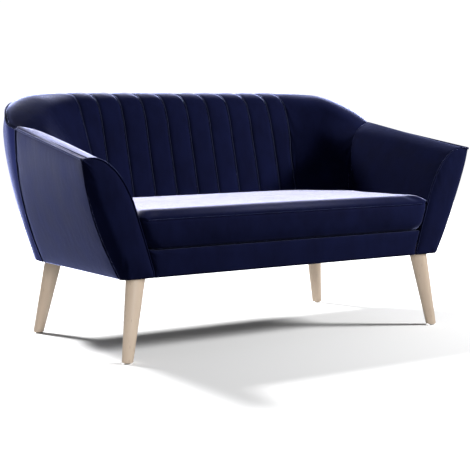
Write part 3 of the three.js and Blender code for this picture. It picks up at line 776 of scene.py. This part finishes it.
def back_middle():
    """The channelled middle of the back, from its piped rear edge down behind the cushion."""
    position = channel_places()
    far = np.abs(position)[None, :]
    # the last seams lean out as they rise; the others stand upright
    seam_x = SEAM_PROFILE[:, 0][:, None]
    upright_x = LAST_SEAM * CHANNEL
    last = upright_x + (seam_x - upright_x) * (far - LAST_SEAM)
    x = np.where(far > LAST_SEAM, last, far * CHANNEL) * np.sign(position)[None, :]
    ease = ((far[0] / (LAST_SEAM + 1)) ** 4)[None, :, None]
    points = CENTRE_PROFILE[:, None, :] + (SEAM_PROFILE - CENTRE_PROFILE)[:, None, :] * ease
    points[:, :, 0] = x
    normal = normals_of(points, back_outside)
    inner = np.abs(position - np.rint(position)) * CHANNEL
    inner = np.where(np.abs(position) > LAST_SEAM + 0.999, 0, inner)
    share = np.clip(inner / SEAM_REACH, 0, 1)
    puff = np.sqrt(1 - (1 - share) ** 2.6)
    crown = CROWN * (1 - (1 - np.clip(inner / (CHANNEL / 2), 0, 1)) ** 2)
    run = lengths(CENTRE_PROFILE)[:, None]
    lift = (SEAM_DEEP * (puff - 1) + crown)[None, :] + 0 * run
    lift = lift + puckers(points, inner[None, :] + 0 * run, 0.022, 0.0014, 3.0)
    lift = lift - fall(run, 0.002)
    surface = points + normal * lift[..., None]
    seams = [welt_line(surface, normal, column) for column in range(0, len(position), SEAM_PER)]
    return skin("back_middle_cover", placed(surface), 0.012, (0, -1, 0.2)), seams


def back_outside(p):
    """Towards the sitter in front of the crest, upwards on the roll and rearwards behind it."""
    y = np.where(p[..., 1] > 0.71, 1.0, -1.0)
    z = np.where(p[..., 2] > 0.72, 3.0, 0.2)
    return np.stack([0 * y, y, z], axis=-1)


WELT = 0.0015


def welt_line(surface, normal, column):
    """The fine corded line in a channel's seam, which stands a little out of its groove."""
    return placed(surface[1:, column] + normal[1:, column] * (SEAM_DEEP * 0.8))


def channel_welts(seams):
    """One fine cord in each of the back's seams, joined as one piece of sewing."""
    cords = [tube(f"welt_{number}", line, WELT, 4) for number, line in enumerate(seams)]
    deselect()
    for cord in cords:
        cord.select_set(True)
    bpy.context.view_layer.objects.active = cords[0]
    bpy.ops.object.join()
    joined = bpy.context.object
    joined.name = joined.data.name = "back_channel_welts"
    return joined


def back_wing():
    """The plain cloth from the last channel seam round the corner to the arm."""
    stations = spaced(34, 5, 0.05)
    lines = []
    rear = rear_seam_line()
    kept = np.linspace(1, 0, len(rear)) ** 8
    for t in stations:
        angle = SEAM_ANGLE + (ARM_ANGLE - SEAM_ANGLE) * t
        line = back_line(t, angle)
        # the last stretch settles on the arm's seam, and its rear edge stays on the roll's piping
        k = np.clip((t - 0.45) / 0.55, 0, 1)
        blend = k * k * (3 - 2 * k) * (1 - kept * (1 - t**12))
        lines.append(line + (rear - line) * blend[:, None])
    points = np.stack(lines, axis=1)
    normal = normals_of(points, wing_outside)
    edge, _, seam, arm = edge_runs(points)
    lift = 0.0005 - fall(seam, 0.006) - fall(edge, 0.001)
    lift = lift + puckers(points, np.minimum(seam, arm), 0.03, 0.0015, 7.0)
    points = points + normal * lift[..., None]
    tucked = points[:, -1:] + np.array([0, -0.008, 0]) - normal[:, -1:] * 0.005
    points = placed(np.concatenate([points, tucked], axis=1))
    return skin("back_wing_cover_right", points, 0.012, (-1, -1, 0), 0.0012)


def wing_outside(p):
    """Towards the sitter on the inside, up on the roll, and outwards behind it."""
    inward = np.stack([-p[..., 0], 0.25 - p[..., 1], 0 * p[..., 0]], axis=-1)
    inward /= np.linalg.norm(inward, axis=-1, keepdims=True)
    height = np.clip((p[..., 2] - 0.62) / 0.08, 0, 1)[..., None]
    return inward * (1 - 0.8 * height) + np.array([0, 0, 1.6]) * height


def rear_seam_line():
    """The arm's seam, as a line with as many points as the back's lines have."""
    line = np.stack([REAR_COVER[:, 0], SEAM_DEPTHS, REAR_COVER[:, 1]], axis=1)
    return resample(line, np.linspace(0, 1, BACK_STEPS + 1))


# ---------------------------------------------------------------- arms


def between(first, last, shares):
    """A grid of points from one line to another."""
    return first[:, None] + (last - first)[:, None] * shares[None, :, None]


def arm_outside(p):
    """Towards the seat on the inside of an arm, and upwards on its top."""
    upwards = np.where(p[..., 2] > 0.56, 3.0, 0.3)
    return np.stack([np.full(p.shape[:2], -1.0), 0 * p[..., 0], upwards], axis=-1)


def arm_cover():
    """The cloth over the inside and the top of an arm."""
    front = upright(FRONT_COVER, 0.0)
    rear = upright(REAR_COVER, SEAM_DEPTHS)
    shares = spaced(56, 5, 0.04)
    front, rear = resample(front, shares), resample(rear, shares)
    points = between(front, rear, spaced(26, 5, 0.05))
    normal = normals_of(points, arm_outside)
    top, _, fore, aft = edge_runs(points)
    lift = 0.001 - fall(fore, 0.006) - fall(aft, 0.002) - fall(top, 0.004)
    lift = lift + puckers(points, np.minimum(fore, aft), 0.03, 0.0015, 11.0)
    return skin("arm_cover_right", points + normal * lift[..., None], 0.012, (-1, 0, 0.5), 0.003)


def arm_side():
    """The cloth on the outside of an arm."""
    shares = spaced(44, 5, 0.05)
    front_flat = resample(FRONT_OUTER, shares)
    front = upright(front_flat, corner_round(front_flat[:, 1]) - 0.003)
    rear_flat = resample(REAR_OUTER, shares)
    rear = upright(rear_flat, seam_depth(rear_flat[:, 1]))
    points = between(front, rear, spaced(30, 6, 0.06))
    normal = normals_of(points, (1, 0, 0))
    low, top, fore, aft = edge_runs(points)
    lift = 0.001 - fall(fore, 0.0008) - fall(aft, 0.005) - fall(top, 0.005) - fall(low, 0.005)
    lift = lift + puckers(points, np.minimum(fore, aft), 0.035, 0.0015, 17.0)
    return skin("arm_side_cover_right", points + normal * lift[..., None], 0.007, (1, 0, 0), 0.002)


FRONT_ROUND = 0.007  # how far the arm front's padding rolls in at its piped edge


def corner_round(z):
    """The radius of the arm front's outer corner, which is soft below and crisp at the tip."""
    share = np.clip((TIP[1] - z) / 0.2, 0, 1)
    return FRONT_ROUND + 0.018 * share * share * (3 - 2 * share)


def distance_to(flat, line):
    """How far points in a plane are from a line in it."""
    fine = resample(line, np.linspace(0, 1, 500))
    return np.sqrt(((flat[:, :, None, :] - fine[None, None]) ** 2).sum(axis=3)).min(axis=2)


def arm_front():
    """The padded panel on the front of an arm."""
    inner = np.concatenate([ARM_FOOT[:-1], FRONT_COVER[::-1][:-1], [TIP]])
    shares = spaced(60, 6, 0.035)
    inner = resample(inner, shares)
    outer = resample(FRONT_OUTER, shares)
    flat = between(inner, outer, spaced(18, 6, 0.12))
    piped = np.concatenate([outer[:1], inner])
    edge = distance_to(flat, piped)
    corner = distance_to(flat, outer)
    puffed = 0.004 * (1 - np.exp(-np.minimum(edge, corner) / 0.03))
    y = FRONT - 0.002 + fall(edge, FRONT_ROUND) + fall(corner, corner_round(flat[..., 1])) - puffed
    points = np.stack([flat[..., 0], y, flat[..., 1]], axis=-1)
    return skin("arm_front_cover_right", points, 0.010, (0, -1, 0), 0.003)


# ---------------------------------------------------------------- outer back

CORNER_SHARE = 0.5  # the share of the way to the middle that a rear corner takes up
TOP_DROP = 0.003  # how far the outer back ends below its piped edge


def rear_outside(p):
    """Rearwards across the back, and outwards round its corners."""
    return np.stack([p[..., 0], np.maximum(p[..., 1] - 0.5, 0.001), 0 * p[..., 0]], axis=-1)


def outer_back():
    """The cloth across the rear of the sofa, round both rear corners from side seam to side seam."""
    columns = spaced(60, 6, 0.02)
    shares = 1 - np.abs(2 * columns - 1)
    heights = spaced(40, 5, 0.03)
    grid = np.zeros((len(heights), len(columns), 3))
    for i, share in enumerate(shares):
        top = at_share(EDGE_LINE, 1 - share)
        z = UNDERSIDE + (top[2] - TOP_DROP - UNDERSIDE) * heights
        plain = outer_points(share, z)
        target = outer_points(share, np.array([top[2] - TOP_DROP]))[0]
        pulled = plain + (top - target) * (heights**5)[:, None]
        pulled[:, 2] = z
        grid[:, i] = pulled
    grid[:, :, 0] *= np.sign(columns - 0.5 + 1e-9)[None, :]
    grid[..., 1] += 0.0015
    normal = normals_of(grid, rear_outside)
    low, top, left, right = edge_runs(grid)
    sides = np.minimum(left, right)
    wave = np.sin(np.pi * np.clip(shares, 0, 0.6) / 0.6) ** 2
    bulge = 0.008 * np.clip((grid[..., 2] - 0.4) / 0.25, 0, 1) * wave
    lift = 0.002 + bulge * (1 - heights**6)[:, None]
    lift = lift - fall(sides, 0.005) - fall(top, 0.002) - fall(low, 0.004)
    lift = lift + puckers(grid, np.minimum(sides, top), 0.035, 0.0015, 23.0)
    return skin("outer_back_cover", placed(grid + normal * lift[..., None]), 0.007, (0, 1, 0))


def outer_points(share, z):
    """The outside of the back at a share of the way from the side seam to the middle."""
    capped = np.minimum(z, JOIN[2])
    rise = (capped - UNDERSIDE) / (JOIN[2] - UNDERSIDE)
    side = side_reach(capped)
    rear = 0.650 + LEAN * (z - UNDERSIDE)
    a = 0.060 + 0.362 * rise * (1.148 - rise)
    y0 = seam_depth(capped)
    turn = min(share / CORNER_SHARE, 1) * math.pi / 2
    flat = max((share - CORNER_SHARE) / (1 - CORNER_SHARE), 0)
    x = (side - a * (1 - math.cos(turn))) * (1 - flat)
    y = y0 + (rear - y0) * math.sin(turn)
    return np.stack([x, y, z], axis=1)


# ---------------------------------------------------------------- seat and apron

CUSHION_PROUD = 0.008


def arm_inside(y, z):
    """The inside face of an arm at a depth and a height."""
    front = 0.5305 + (z - 0.34) * 0.325
    rear = 0.541 + (z - 0.34) * 0.057
    return front + (rear - front) * np.clip(y / 0.395, 0, 1)


def back_face(x, z):
    """The inside of the back at a distance from the middle."""
    bend = np.clip((np.abs(x) - CORNER_X) / CORNER_A, 0, 0.98)
    return back_depth(z) - CORNER_B * (1 - np.sqrt(1 - bend**2))


SEAT_HIGH = 0.432
CORNER_REACH, CORNER_BACK = 0.034, 0.016  # the cushion's front corners are rounded
SEAT_FRONT = 0.4105
FRONT_SOFT = 0.045  # how far in from the sewn front edge the top has levelled out
SIDE_SOFT = 0.035
WALL = 0.08


def soft_edge(distance, reach):
    """1 at a sewn edge and 0 where the padding is full."""
    return 1 - np.sqrt(1 - (1 - np.clip(distance / reach, 0, 1)) ** 2)


def seat_top(x, y):
    """The height of the cushion's top: soft over its front edge and beside the arms."""
    front = soft_edge(y + CUSHION_PROUD, FRONT_SOFT)
    side = soft_edge(arm_inside(y, SEAT_FRONT) - np.abs(x), SIDE_SOFT)
    return SEAT_HIGH - (SEAT_HIGH - SEAT_FRONT) * front - 0.012 * side * (1 - front)


def seat_half(y, z):
    """Half the cushion's width: it swells a little over the arm fronts, and narrows to its foot."""
    heights = [0.326, 0.345, 0.37, 0.393, 0.405, SEAT_FRONT, SEAT_HIGH]
    proud = np.interp(z, heights, [0.510, 0.523, 0.537, 0.547, 0.547, 0.544, 0.543])
    share = np.clip((0.004 - y) / 0.010, 0, 1)
    return proud * share + (arm_inside(y, z) - 0.002) * (1 - share)


def seat_cushion():
    """One wide cushion with a boxed front: it is closed, and swells against its sewn edges."""
    across, along = spaced(96, 7, 0.035), spaced(52, 9, 0.08)
    columns, rows = len(across), len(along)
    a = (2 * across - 1)[None, :] + np.zeros((rows, 1))
    b = along[:, None] + np.zeros((1, columns))
    depth = np.minimum(back_face(a * 0.55, SEAT_LINE) - 0.004, 0.56)
    turn = np.clip((np.abs(a) * 0.544 - 0.544 + CORNER_REACH) / CORNER_REACH, 0, 1)
    corner = CORNER_BACK * (1 - np.sqrt(1 - turn**2))
    y = -CUSHION_PROUD + corner * (1 - b) ** 6 + (depth + CUSHION_PROUD) * b
    x = a * seat_half(y, SEAT_FRONT)
    points = np.stack([x, FRONT + y, seat_top(x, y)], axis=-1)
    deselect()
    bpy.ops.mesh.primitive_grid_add(x_subdivisions=columns - 1, y_subdivisions=rows - 1, size=2)
    obj = bpy.context.object
    obj.name = obj.data.name = "seat_cushion_cover"
    lay_grid(obj, points)
    lower(obj, WALL)
    split_border(obj, 23)
    shape_border(obj)
    face_outwards(obj)
    inflate(obj)
    sew_front(obj)
    modify(obj, "SUBSURF", levels=1, render_levels=1)
    smooth_shade(obj, 60)
    return obj


def lower(obj, depth):
    """Draws the sheet's twin straight down and walls the edge between them."""
    pick(obj)
    bpy.ops.object.mode_set(mode="EDIT")
    bpy.ops.mesh.select_all(action="SELECT")
    bpy.ops.mesh.extrude_region_move(TRANSFORM_OT_translate={"value": (0, 0, -depth)})
    bpy.ops.object.mode_set(mode="OBJECT")


def split_border(obj, cuts):
    """Cuts the wall between the cushion's top and bottom into bands."""
    points = get_points(obj)
    walls = []
    for edge in obj.data.edges:
        p, q = (points[v] for v in edge.vertices)
        level = np.linalg.norm((p - q)[:2])
        walls.append(bool(level < 1e-6 and abs(p[2] - q[2]) > WALL * 0.9))
    pick(obj)
    bpy.ops.object.mode_set(mode="EDIT")
    bpy.ops.mesh.select_mode(type="EDGE")
    bpy.ops.mesh.select_all(action="DESELECT")
    bpy.ops.object.mode_set(mode="OBJECT")
    for edge, wanted in zip(obj.data.edges, walls):
        edge.select = wanted
    bpy.ops.object.mode_set(mode="EDIT")
    bpy.ops.mesh.subdivide(number_cuts=cuts, smoothness=0)
    bpy.ops.mesh.select_mode(type="VERT")
    bpy.ops.object.mode_set(mode="OBJECT")


def shape_border(obj):
    """Swells the front band, tucks its foot in and levels the underside."""
    p = get_points(obj)
    y = p[:, 1] - FRONT
    top = seat_top(p[:, 0], y)
    share = np.clip((top - p[:, 2]) / WALL, 0, 1)
    p[:, 2] = top - share * (top - SEAT_BOTTOM - 0.0015)
    wide = p[:, 0] / seat_half(y, SEAT_FRONT)
    tuck = 0.009 * np.clip((share - 0.7) / 0.3, 0, 1) ** 2
    p[:, 0] = wide * (seat_half(y, p[:, 2]) - tuck)
    middle = np.clip(1 - (y + CUSHION_PROUD) / 0.05, 0, 1)
    p[:, 1] += middle * (tuck - 0.003 * np.sin(np.pi * share) ** 0.7)
    set_points(obj, p)


SWELL = 0.007  # the most that air moves the cushion


def inflate(obj):
    """Swells the cushion a little with cloth and air, held along its sewn edges and its foot."""
    rest = get_points(obj)
    y = rest[:, 1] - FRONT
    foot = rest[:, 2] < SEAT_BOTTOM + 0.006
    sewn = (y < -CUSHION_PROUD + 0.001) & (np.abs(rest[:, 2] - SEAT_FRONT) < 0.0015)
    move = air_moves(obj, sewn | foot, SWELL, CUSHION_FRAMES)
    move[:, 0] = np.where(y < 0.01, np.clip(move[:, 0], -0.003, 0.003), 0)
    beside = np.clip((y - 0.30) / 0.2, 0, 1)
    move[:, 2] *= 1 - beside
    move[:, 1] = np.where(y > 0.05, 0, move[:, 1])
    set_points(obj, rest + move)


def sew_front(obj):
    """The sewn edge along the front: the cloth dips where top and front band are joined."""
    p = get_points(obj)
    y = p[:, 1] - FRONT
    near = np.exp(-(((p[:, 2] - SEAT_FRONT) / 0.0032) ** 2))
    near = near * np.exp(-np.maximum(y + CUSHION_PROUD, 0) / 0.01)
    ripple = np.array([noise.noise(Vector((v[0] / 0.03, 5.0, 0))) for v in p])
    p[:, 1] += near * (0.0055 + 0.0008 * ripple)
    p[:, 2] -= near * 0.001
    set_points(obj, p)


def seat_edge_cord(cushion):
    """A fine cord along the cushion's front seam, laid on the swollen cloth."""
    p = get_points(cushion)
    p = p[np.abs(p[:, 2] - SEAT_FRONT) < 0.003]
    places = np.linspace(-0.525, 0.525, 150)
    front = np.array([p[np.abs(p[:, 0] - x) < 0.009, 1].min() for x in places])
    even = np.convolve(np.pad(front, 4, mode="edge"), np.ones(9) / 9, mode="valid")
    line = np.stack([places, even + 0.0004, np.full_like(places, SEAT_FRONT)], axis=1)
    return tube("seat_front_cord", line, 0.0016, 4)


def apron():
    """The padded panel under the cushion, with its edges turned back round the front rail."""
    columns, rows = spaced(80, 5, 0.015), spaced(14, 5, 0.15)
    z = UNDERSIDE + (SEAT_BOTTOM - 0.002 - UNDERSIDE) * rows
    half = np.interp(z, ARM_FOOT[:, 1], ARM_FOOT[:, 0]) - 0.003
    x = half[:, None] * (2 * columns - 1)[None, :]
    heights = np.repeat(z[:, None], len(columns), axis=1)
    points = np.stack([x, np.full_like(x, FRONT), heights], axis=-1)
    low, top, left, right = edge_runs(points)
    lift = 0.002 - fall(np.minimum(left, right), 0.006) - fall(top, 0.005) - fall(low, 0.005)
    lift = lift + puckers(points, np.minimum(top, low), 0.04, 0.0008, 31.0)
    points[..., 1] -= lift
    turned = [points[-1] + np.array([0, deep, 0]) for deep in (0.008, 0.02, 0.034)]
    points = np.concatenate([points, turned])
    turns = ((0.002, 0.01), (0.007, 0.03), (0.014, 0.05))  # how far out and how far back
    for column, side in ((0, -1), (-1, 1)):
        steps = [points[:, column] + np.array([side * out, deep, 0]) for out, deep in turns]
        back = np.stack(steps, axis=1)
        points = np.concatenate([back[:, ::-1], points] if side < 0 else [points, back], axis=1)
    return skin("front_apron_cover", points, 0.005, (0, -1, 0), 0.002)


# ---------------------------------------------------------------- piping

PIPE = 0.0032


def arm_front_piping():
    """The corded edge of an arm front, from the foot of its inside up and over to its tip."""
    foot = [(PANEL_LOW.x + 0.001, UNDERSIDE + 0.004)]
    inner = np.concatenate([foot, ARM_FOOT[1:-1], FRONT_COVER[::-1]])
    line = upright(resample(inner, np.linspace(0, 1, 120)), 0.0)
    line[:, 1] = FRONT + 0.0005
    return tube("arm_front_piping_right", line, 0.0026)


def arm_top_piping():
    """The corded seam along an arm's top outer edge."""
    t = np.linspace(0.004, 1, 60)[:, None]
    front = np.array([TIP[0] + 0.001, FRONT, TIP[1] + 0.002])
    rear = placed(JOIN) + np.array([0.001, 0, 0.0005])
    return tube("arm_top_piping_right", front + (rear - front) * t, PIPE)


def arm_top_seam():
    """The second, finer cord along an arm's top, a finger's width inside the first."""
    t = np.linspace(0.004, 0.99, 60)[:, None]
    front = upright(FRONT_COVER, 0.0)[4] + np.array([0.002, 0.004, 0.003])
    rear = placed(np.array([JOIN[0] - 0.011, JOIN[1] - 0.004, JOIN[2] + 0.004]))
    return tube("arm_top_seam_right", front + (rear - front) * t, 0.0016)


def side_seam_piping():
    """The corded seam down the rear of an arm, between its side and the outer back."""
    z = np.linspace(JOIN[2], UNDERSIDE + 0.003, 90)
    line = np.stack([side_reach(z) + 0.0005, FRONT + seam_depth(z), z], axis=1)
    line[0] = placed(JOIN)
    return tube("side_seam_piping_right", line, PIPE)


def back_edge_piping():
    """The corded edge along the rear of the roll, from one arm to the other."""
    half = resample(EDGE_LINE, np.linspace(0, 1, 140))
    left = half[::-1].copy()
    left[:, 0] *= -1
    line = placed(np.concatenate([left[:-1], half]))
    line[:, 2] -= 0.001
    return tube("back_edge_piping", line, PIPE)


# ---------------------------------------------------------------- legs


LEG_TOP, LEG_FOOT = 0.0285, 0.0165  # radii
LEG_HEIGHT = 0.2416  # where the leg's upper centre is given


def leg(end, top, foot):
    """A tapered round leg: a cylinder drawn out to its foot, cut level and eased at the floor."""
    z_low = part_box(f"glide_{end}_right")[1].z + 0.0004
    z_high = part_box(f"leg_{end}_right")[1].z
    deselect()
    bpy.ops.mesh.primitive_cylinder_add(vertices=64, radius=1, depth=1, end_fill_type="NGON")
    obj = bpy.context.object
    obj.name = obj.data.name = f"leg_{end}_right_turned"
    bpy.ops.object.mode_set(mode="EDIT")
    bpy.ops.mesh.select_all(action="SELECT")
    bpy.ops.mesh.subdivide(number_cuts=1)
    bpy.ops.object.mode_set(mode="OBJECT")
    p = get_points(obj)
    rise = p[:, 2] + 0.5
    radius = LEG_FOOT + (LEG_TOP - LEG_FOOT) * rise
    z = z_low + (z_high - z_low) * rise
    share = z / LEG_HEIGHT
    p[:, 0] = foot[0] + (top[0] - foot[0]) * share + p[:, 0] * radius
    p[:, 1] = FRONT + foot[1] + (top[1] - foot[1]) * share + p[:, 1] * radius
    p[:, 2] = z
    set_points(obj, p)
    modify(obj, "BEVEL", width=0.0022, segments=4, limit_method="ANGLE", angle_limit=math.radians(50))
    smooth_shade(obj, 40)
    return obj


# Each leg's upper and lower centre, out from the middle and back from the arm fronts.
LEGS = {"front": ((0.545, 0.037), (0.588, 0.013)), "rear": ((0.529, 0.588), (0.5735, 0.618))}


# ---------------------------------------------------------------- build

middle, seam_lines = back_middle()
keep(middle, VELVET, "velvet", "back_middle_pad", fill=0.8)
# the channel cords take the lighter navy, a painted highlight along each seam
keep(channel_welts(seam_lines), PAINTED_HIGHLIGHT_CORD, "velvet")
keep(outer_back(), VELVET, "velvet", "outer_back_panel")
cushion = keep(seat_cushion(), VELVET, "velvet", "seat_cushion", fill=0.85)
keep(seat_edge_cord(cushion), VELVET, "velvet")
keep(apron(), VELVET, "velvet", "front_apron", fill=0.9)
keep(back_edge_piping(), VELVET, "velvet")
keep_pair(back_wing(), VELVET, "velvet", "back_wing_pad", 0.8)
keep_pair(arm_cover(), VELVET, "velvet", "arm_pad", 0.9)
keep_pair(arm_side(), VELVET, "velvet", "arm_side_panel")
keep_pair(arm_front(), VELVET, "velvet", "arm_front_panel", 0.9)
keep_pair(arm_front_piping(), VELVET, "velvet")
keep_pair(arm_top_piping(), VELVET, "velvet")
keep_pair(arm_top_seam(), VELVET, "velvet")
keep_pair(side_seam_piping(), VELVET, "velvet")
for end, (top, foot) in LEGS.items():
    keep_pair(leg(end, top, foot), BEECH, "beech", f"leg_{end}")


# ---------------------------------------------------------------- floor, light and camera


def seen_as(tree, plain, to_camera, output):
    """Shows the camera one shader and everything else another."""
    path = node(tree, "LightPath")
    links = [(0, path.outputs["Is Camera Ray"]), (1, plain.outputs[0]), (2, to_camera.outputs[0])]
    tree.links.new(node(tree, "MixShader", links).outputs[0], tree.nodes[output].inputs[0])


def stage():
    """A pale floor with a painted glow: it emits a faint light next to the sofa, which lifts its
    shadows, and brightens to full white away from it, where it meets the white of the room; other
    rays see a dimmer grey floor.
    """
    deselect()
    bpy.ops.mesh.primitive_plane_add(size=9, location=(0, 0, 0))
    floor = bpy.context.object
    floor.name = "studio_floor"
    material, tree, shader, place = new_material("pale_floor", Roughness=0.7)
    shader.inputs["Base Color"].default_value = (0.9, 0.9, 0.9, 1)
    # painted light: the floor's own emission, faint by the sofa and full white far from it
    shader.inputs["Emission Strength"].default_value = 1.0
    far = node(tree, "VectorMath", [(0, place)], operation="LENGTH")
    painted_glow = node(
        tree,
        "MapRange",
        [(0, far.outputs["Value"])],
        {"From Min": 1.1, "From Max": 2.6, "To Min": 0.04},
        interpolation_type="SMOOTHSTEP",
    )
    tree.links.new(painted_glow.outputs[0], shader.inputs["Emission Color"])
    dim = node(tree, "BsdfDiffuse", values={"Color": (0.42, 0.42, 0.42, 1)})
    seen_as(tree, dim, shader, "Material Output")
    floor.data.materials.append(material)


def soft_light(name, direction, height, distance, size, strength, colour):
    """A square lamp at a compass direction and a height in degrees, aimed at the sofa."""
    light = bpy.data.lights.new(name, "AREA")
    light.shape = "SQUARE"
    light.size = size
    light.energy = strength * distance**2
    light.color = colour
    level = math.cos(math.radians(height))
    flat = Vector(direction).normalized() * level
    aim = Vector((0, 0, 0.35))
    place = aim + Vector((flat.x, flat.y, math.sin(math.radians(height)))) * distance
    obj = bpy.data.objects.new(name, light)
    obj.location = place
    obj.rotation_euler = (aim - place).to_track_quat("-Z", "Y").to_euler()
    bpy.context.collection.objects.link(obj)
    obj.visible_camera = False
    return obj


def collection(name, names):
    made = bpy.data.collections.new(name)
    for piece in names:
        made.objects.link(bpy.data.objects[piece])
    return made


def only_on(lamp, names, shaded_by=None):
    """Lets a lamp fall on the named pieces alone; with `shaded_by`, only those pieces shade it."""
    linking = lamp.light_linking
    linking.receiver_collection = collection(lamp.name + "_falls_on", names)
    if shaded_by:
        linking.blocker_collection = collection(lamp.name + "_shaded_by", shaded_by)


def world():
    """An even white room."""
    made = bpy.data.worlds.new("studio")
    bpy.context.scene.world = made
    made.use_nodes = True
    tree = made.node_tree
    background = tree.nodes["Background"]
    background.inputs[0].default_value = (0.96, 0.97, 1.0, 1)
    background.inputs[1].default_value = 0.14
    seen = node(tree, "Background", values={0: (1, 1, 1, 1), 1: 1.05})
    seen_as(tree, background, seen, "World Output")


def camera():
    data = bpy.data.cameras.new("camera")
    data.lens = 101.29
    data.sensor_width = 36
    obj = bpy.data.objects.new("camera", data)
    bpy.context.collection.objects.link(obj)
    yaw, pitch = math.radians(34.4625), math.radians(-5.8996)
    obj.location = (-2.4476, -3.2422 + FRONT, 0.7574)
    obj.rotation_euler = (math.pi / 2 + pitch, 0, -yaw)
    bpy.context.scene.camera = obj


stage()
world()
SEAT = "seat_cushion_cover"
LEG_NAMES = [piece.name for piece in bpy.data.objects if piece.name.startswith("leg_")]
SOFA = [
    piece.name
    for piece in bpy.data.objects
    if piece.type == "MESH" and piece.name != "studio_floor" and piece.name not in LEG_NAMES
]
COVERS = [name for name in SOFA if name != "outer_back_cover"]
RIMMED = [name for name in COVERS if name != "arm_cover_right"]
LIT = SOFA + ["studio_floor"]
ARM = ["arm_cover_left"]
RIGHT, REAR, BEHIND = (0.84, -0.54), (-0.33, 0.94), (0.0, 1.0)
WHITE, WARM = (1, 1, 1), (1, 0.9, 0.7)
# name, direction, height, distance, size, strength, colour, falls on, shaded by
LAMPS = [
    ("right_light", RIGHT, 25, 5, 0.9, 15, WHITE, LIT, None),
    ("right_fill", RIGHT, 25, 5, 0.5, 7, WHITE, SOFA, None),
    ("rear_light", REAR, 42, 5, 0.9, 20, WHITE, LIT, None),
    ("left_light", (-0.55, 0.84), 7, 4, 1.4, 58, (0.9, 0.93, 1), COVERS, None),
    ("corner_light", (-0.95, 0.3), 7, 4, 1.4, 45, WHITE, ["outer_back_cover"], None),
    ("rim_light", (0.3, 0.95), 32, 4, 1.4, 42, WHITE, RIMMED, None),
    ("seat_light", BEHIND, 20, 4, 2.0, 115, WARM, [SEAT], [SEAT]),
    ("arm_light", BEHIND, 20, 4, 2.0, 62, (1, 0.9, 0.72), ARM, ARM),
    ("leg_light_front", (-0.45, -0.9), 15, 5, 2.0, 3.6, WHITE, LEG_NAMES, None),
    ("leg_light_right", RIGHT, 25, 5, 1.0, 4.2, WHITE, LEG_NAMES, None),
    ("leg_light_rear", REAR, 35, 5, 1.0, 4.5, WHITE, LEG_NAMES, None),
]
for *lamp, falls_on, shaded_by in LAMPS:
    only_on(soft_light(*lamp), falls_on, shaded_by)
bpy.context.scene.view_settings.view_transform = "Standard"
camera()
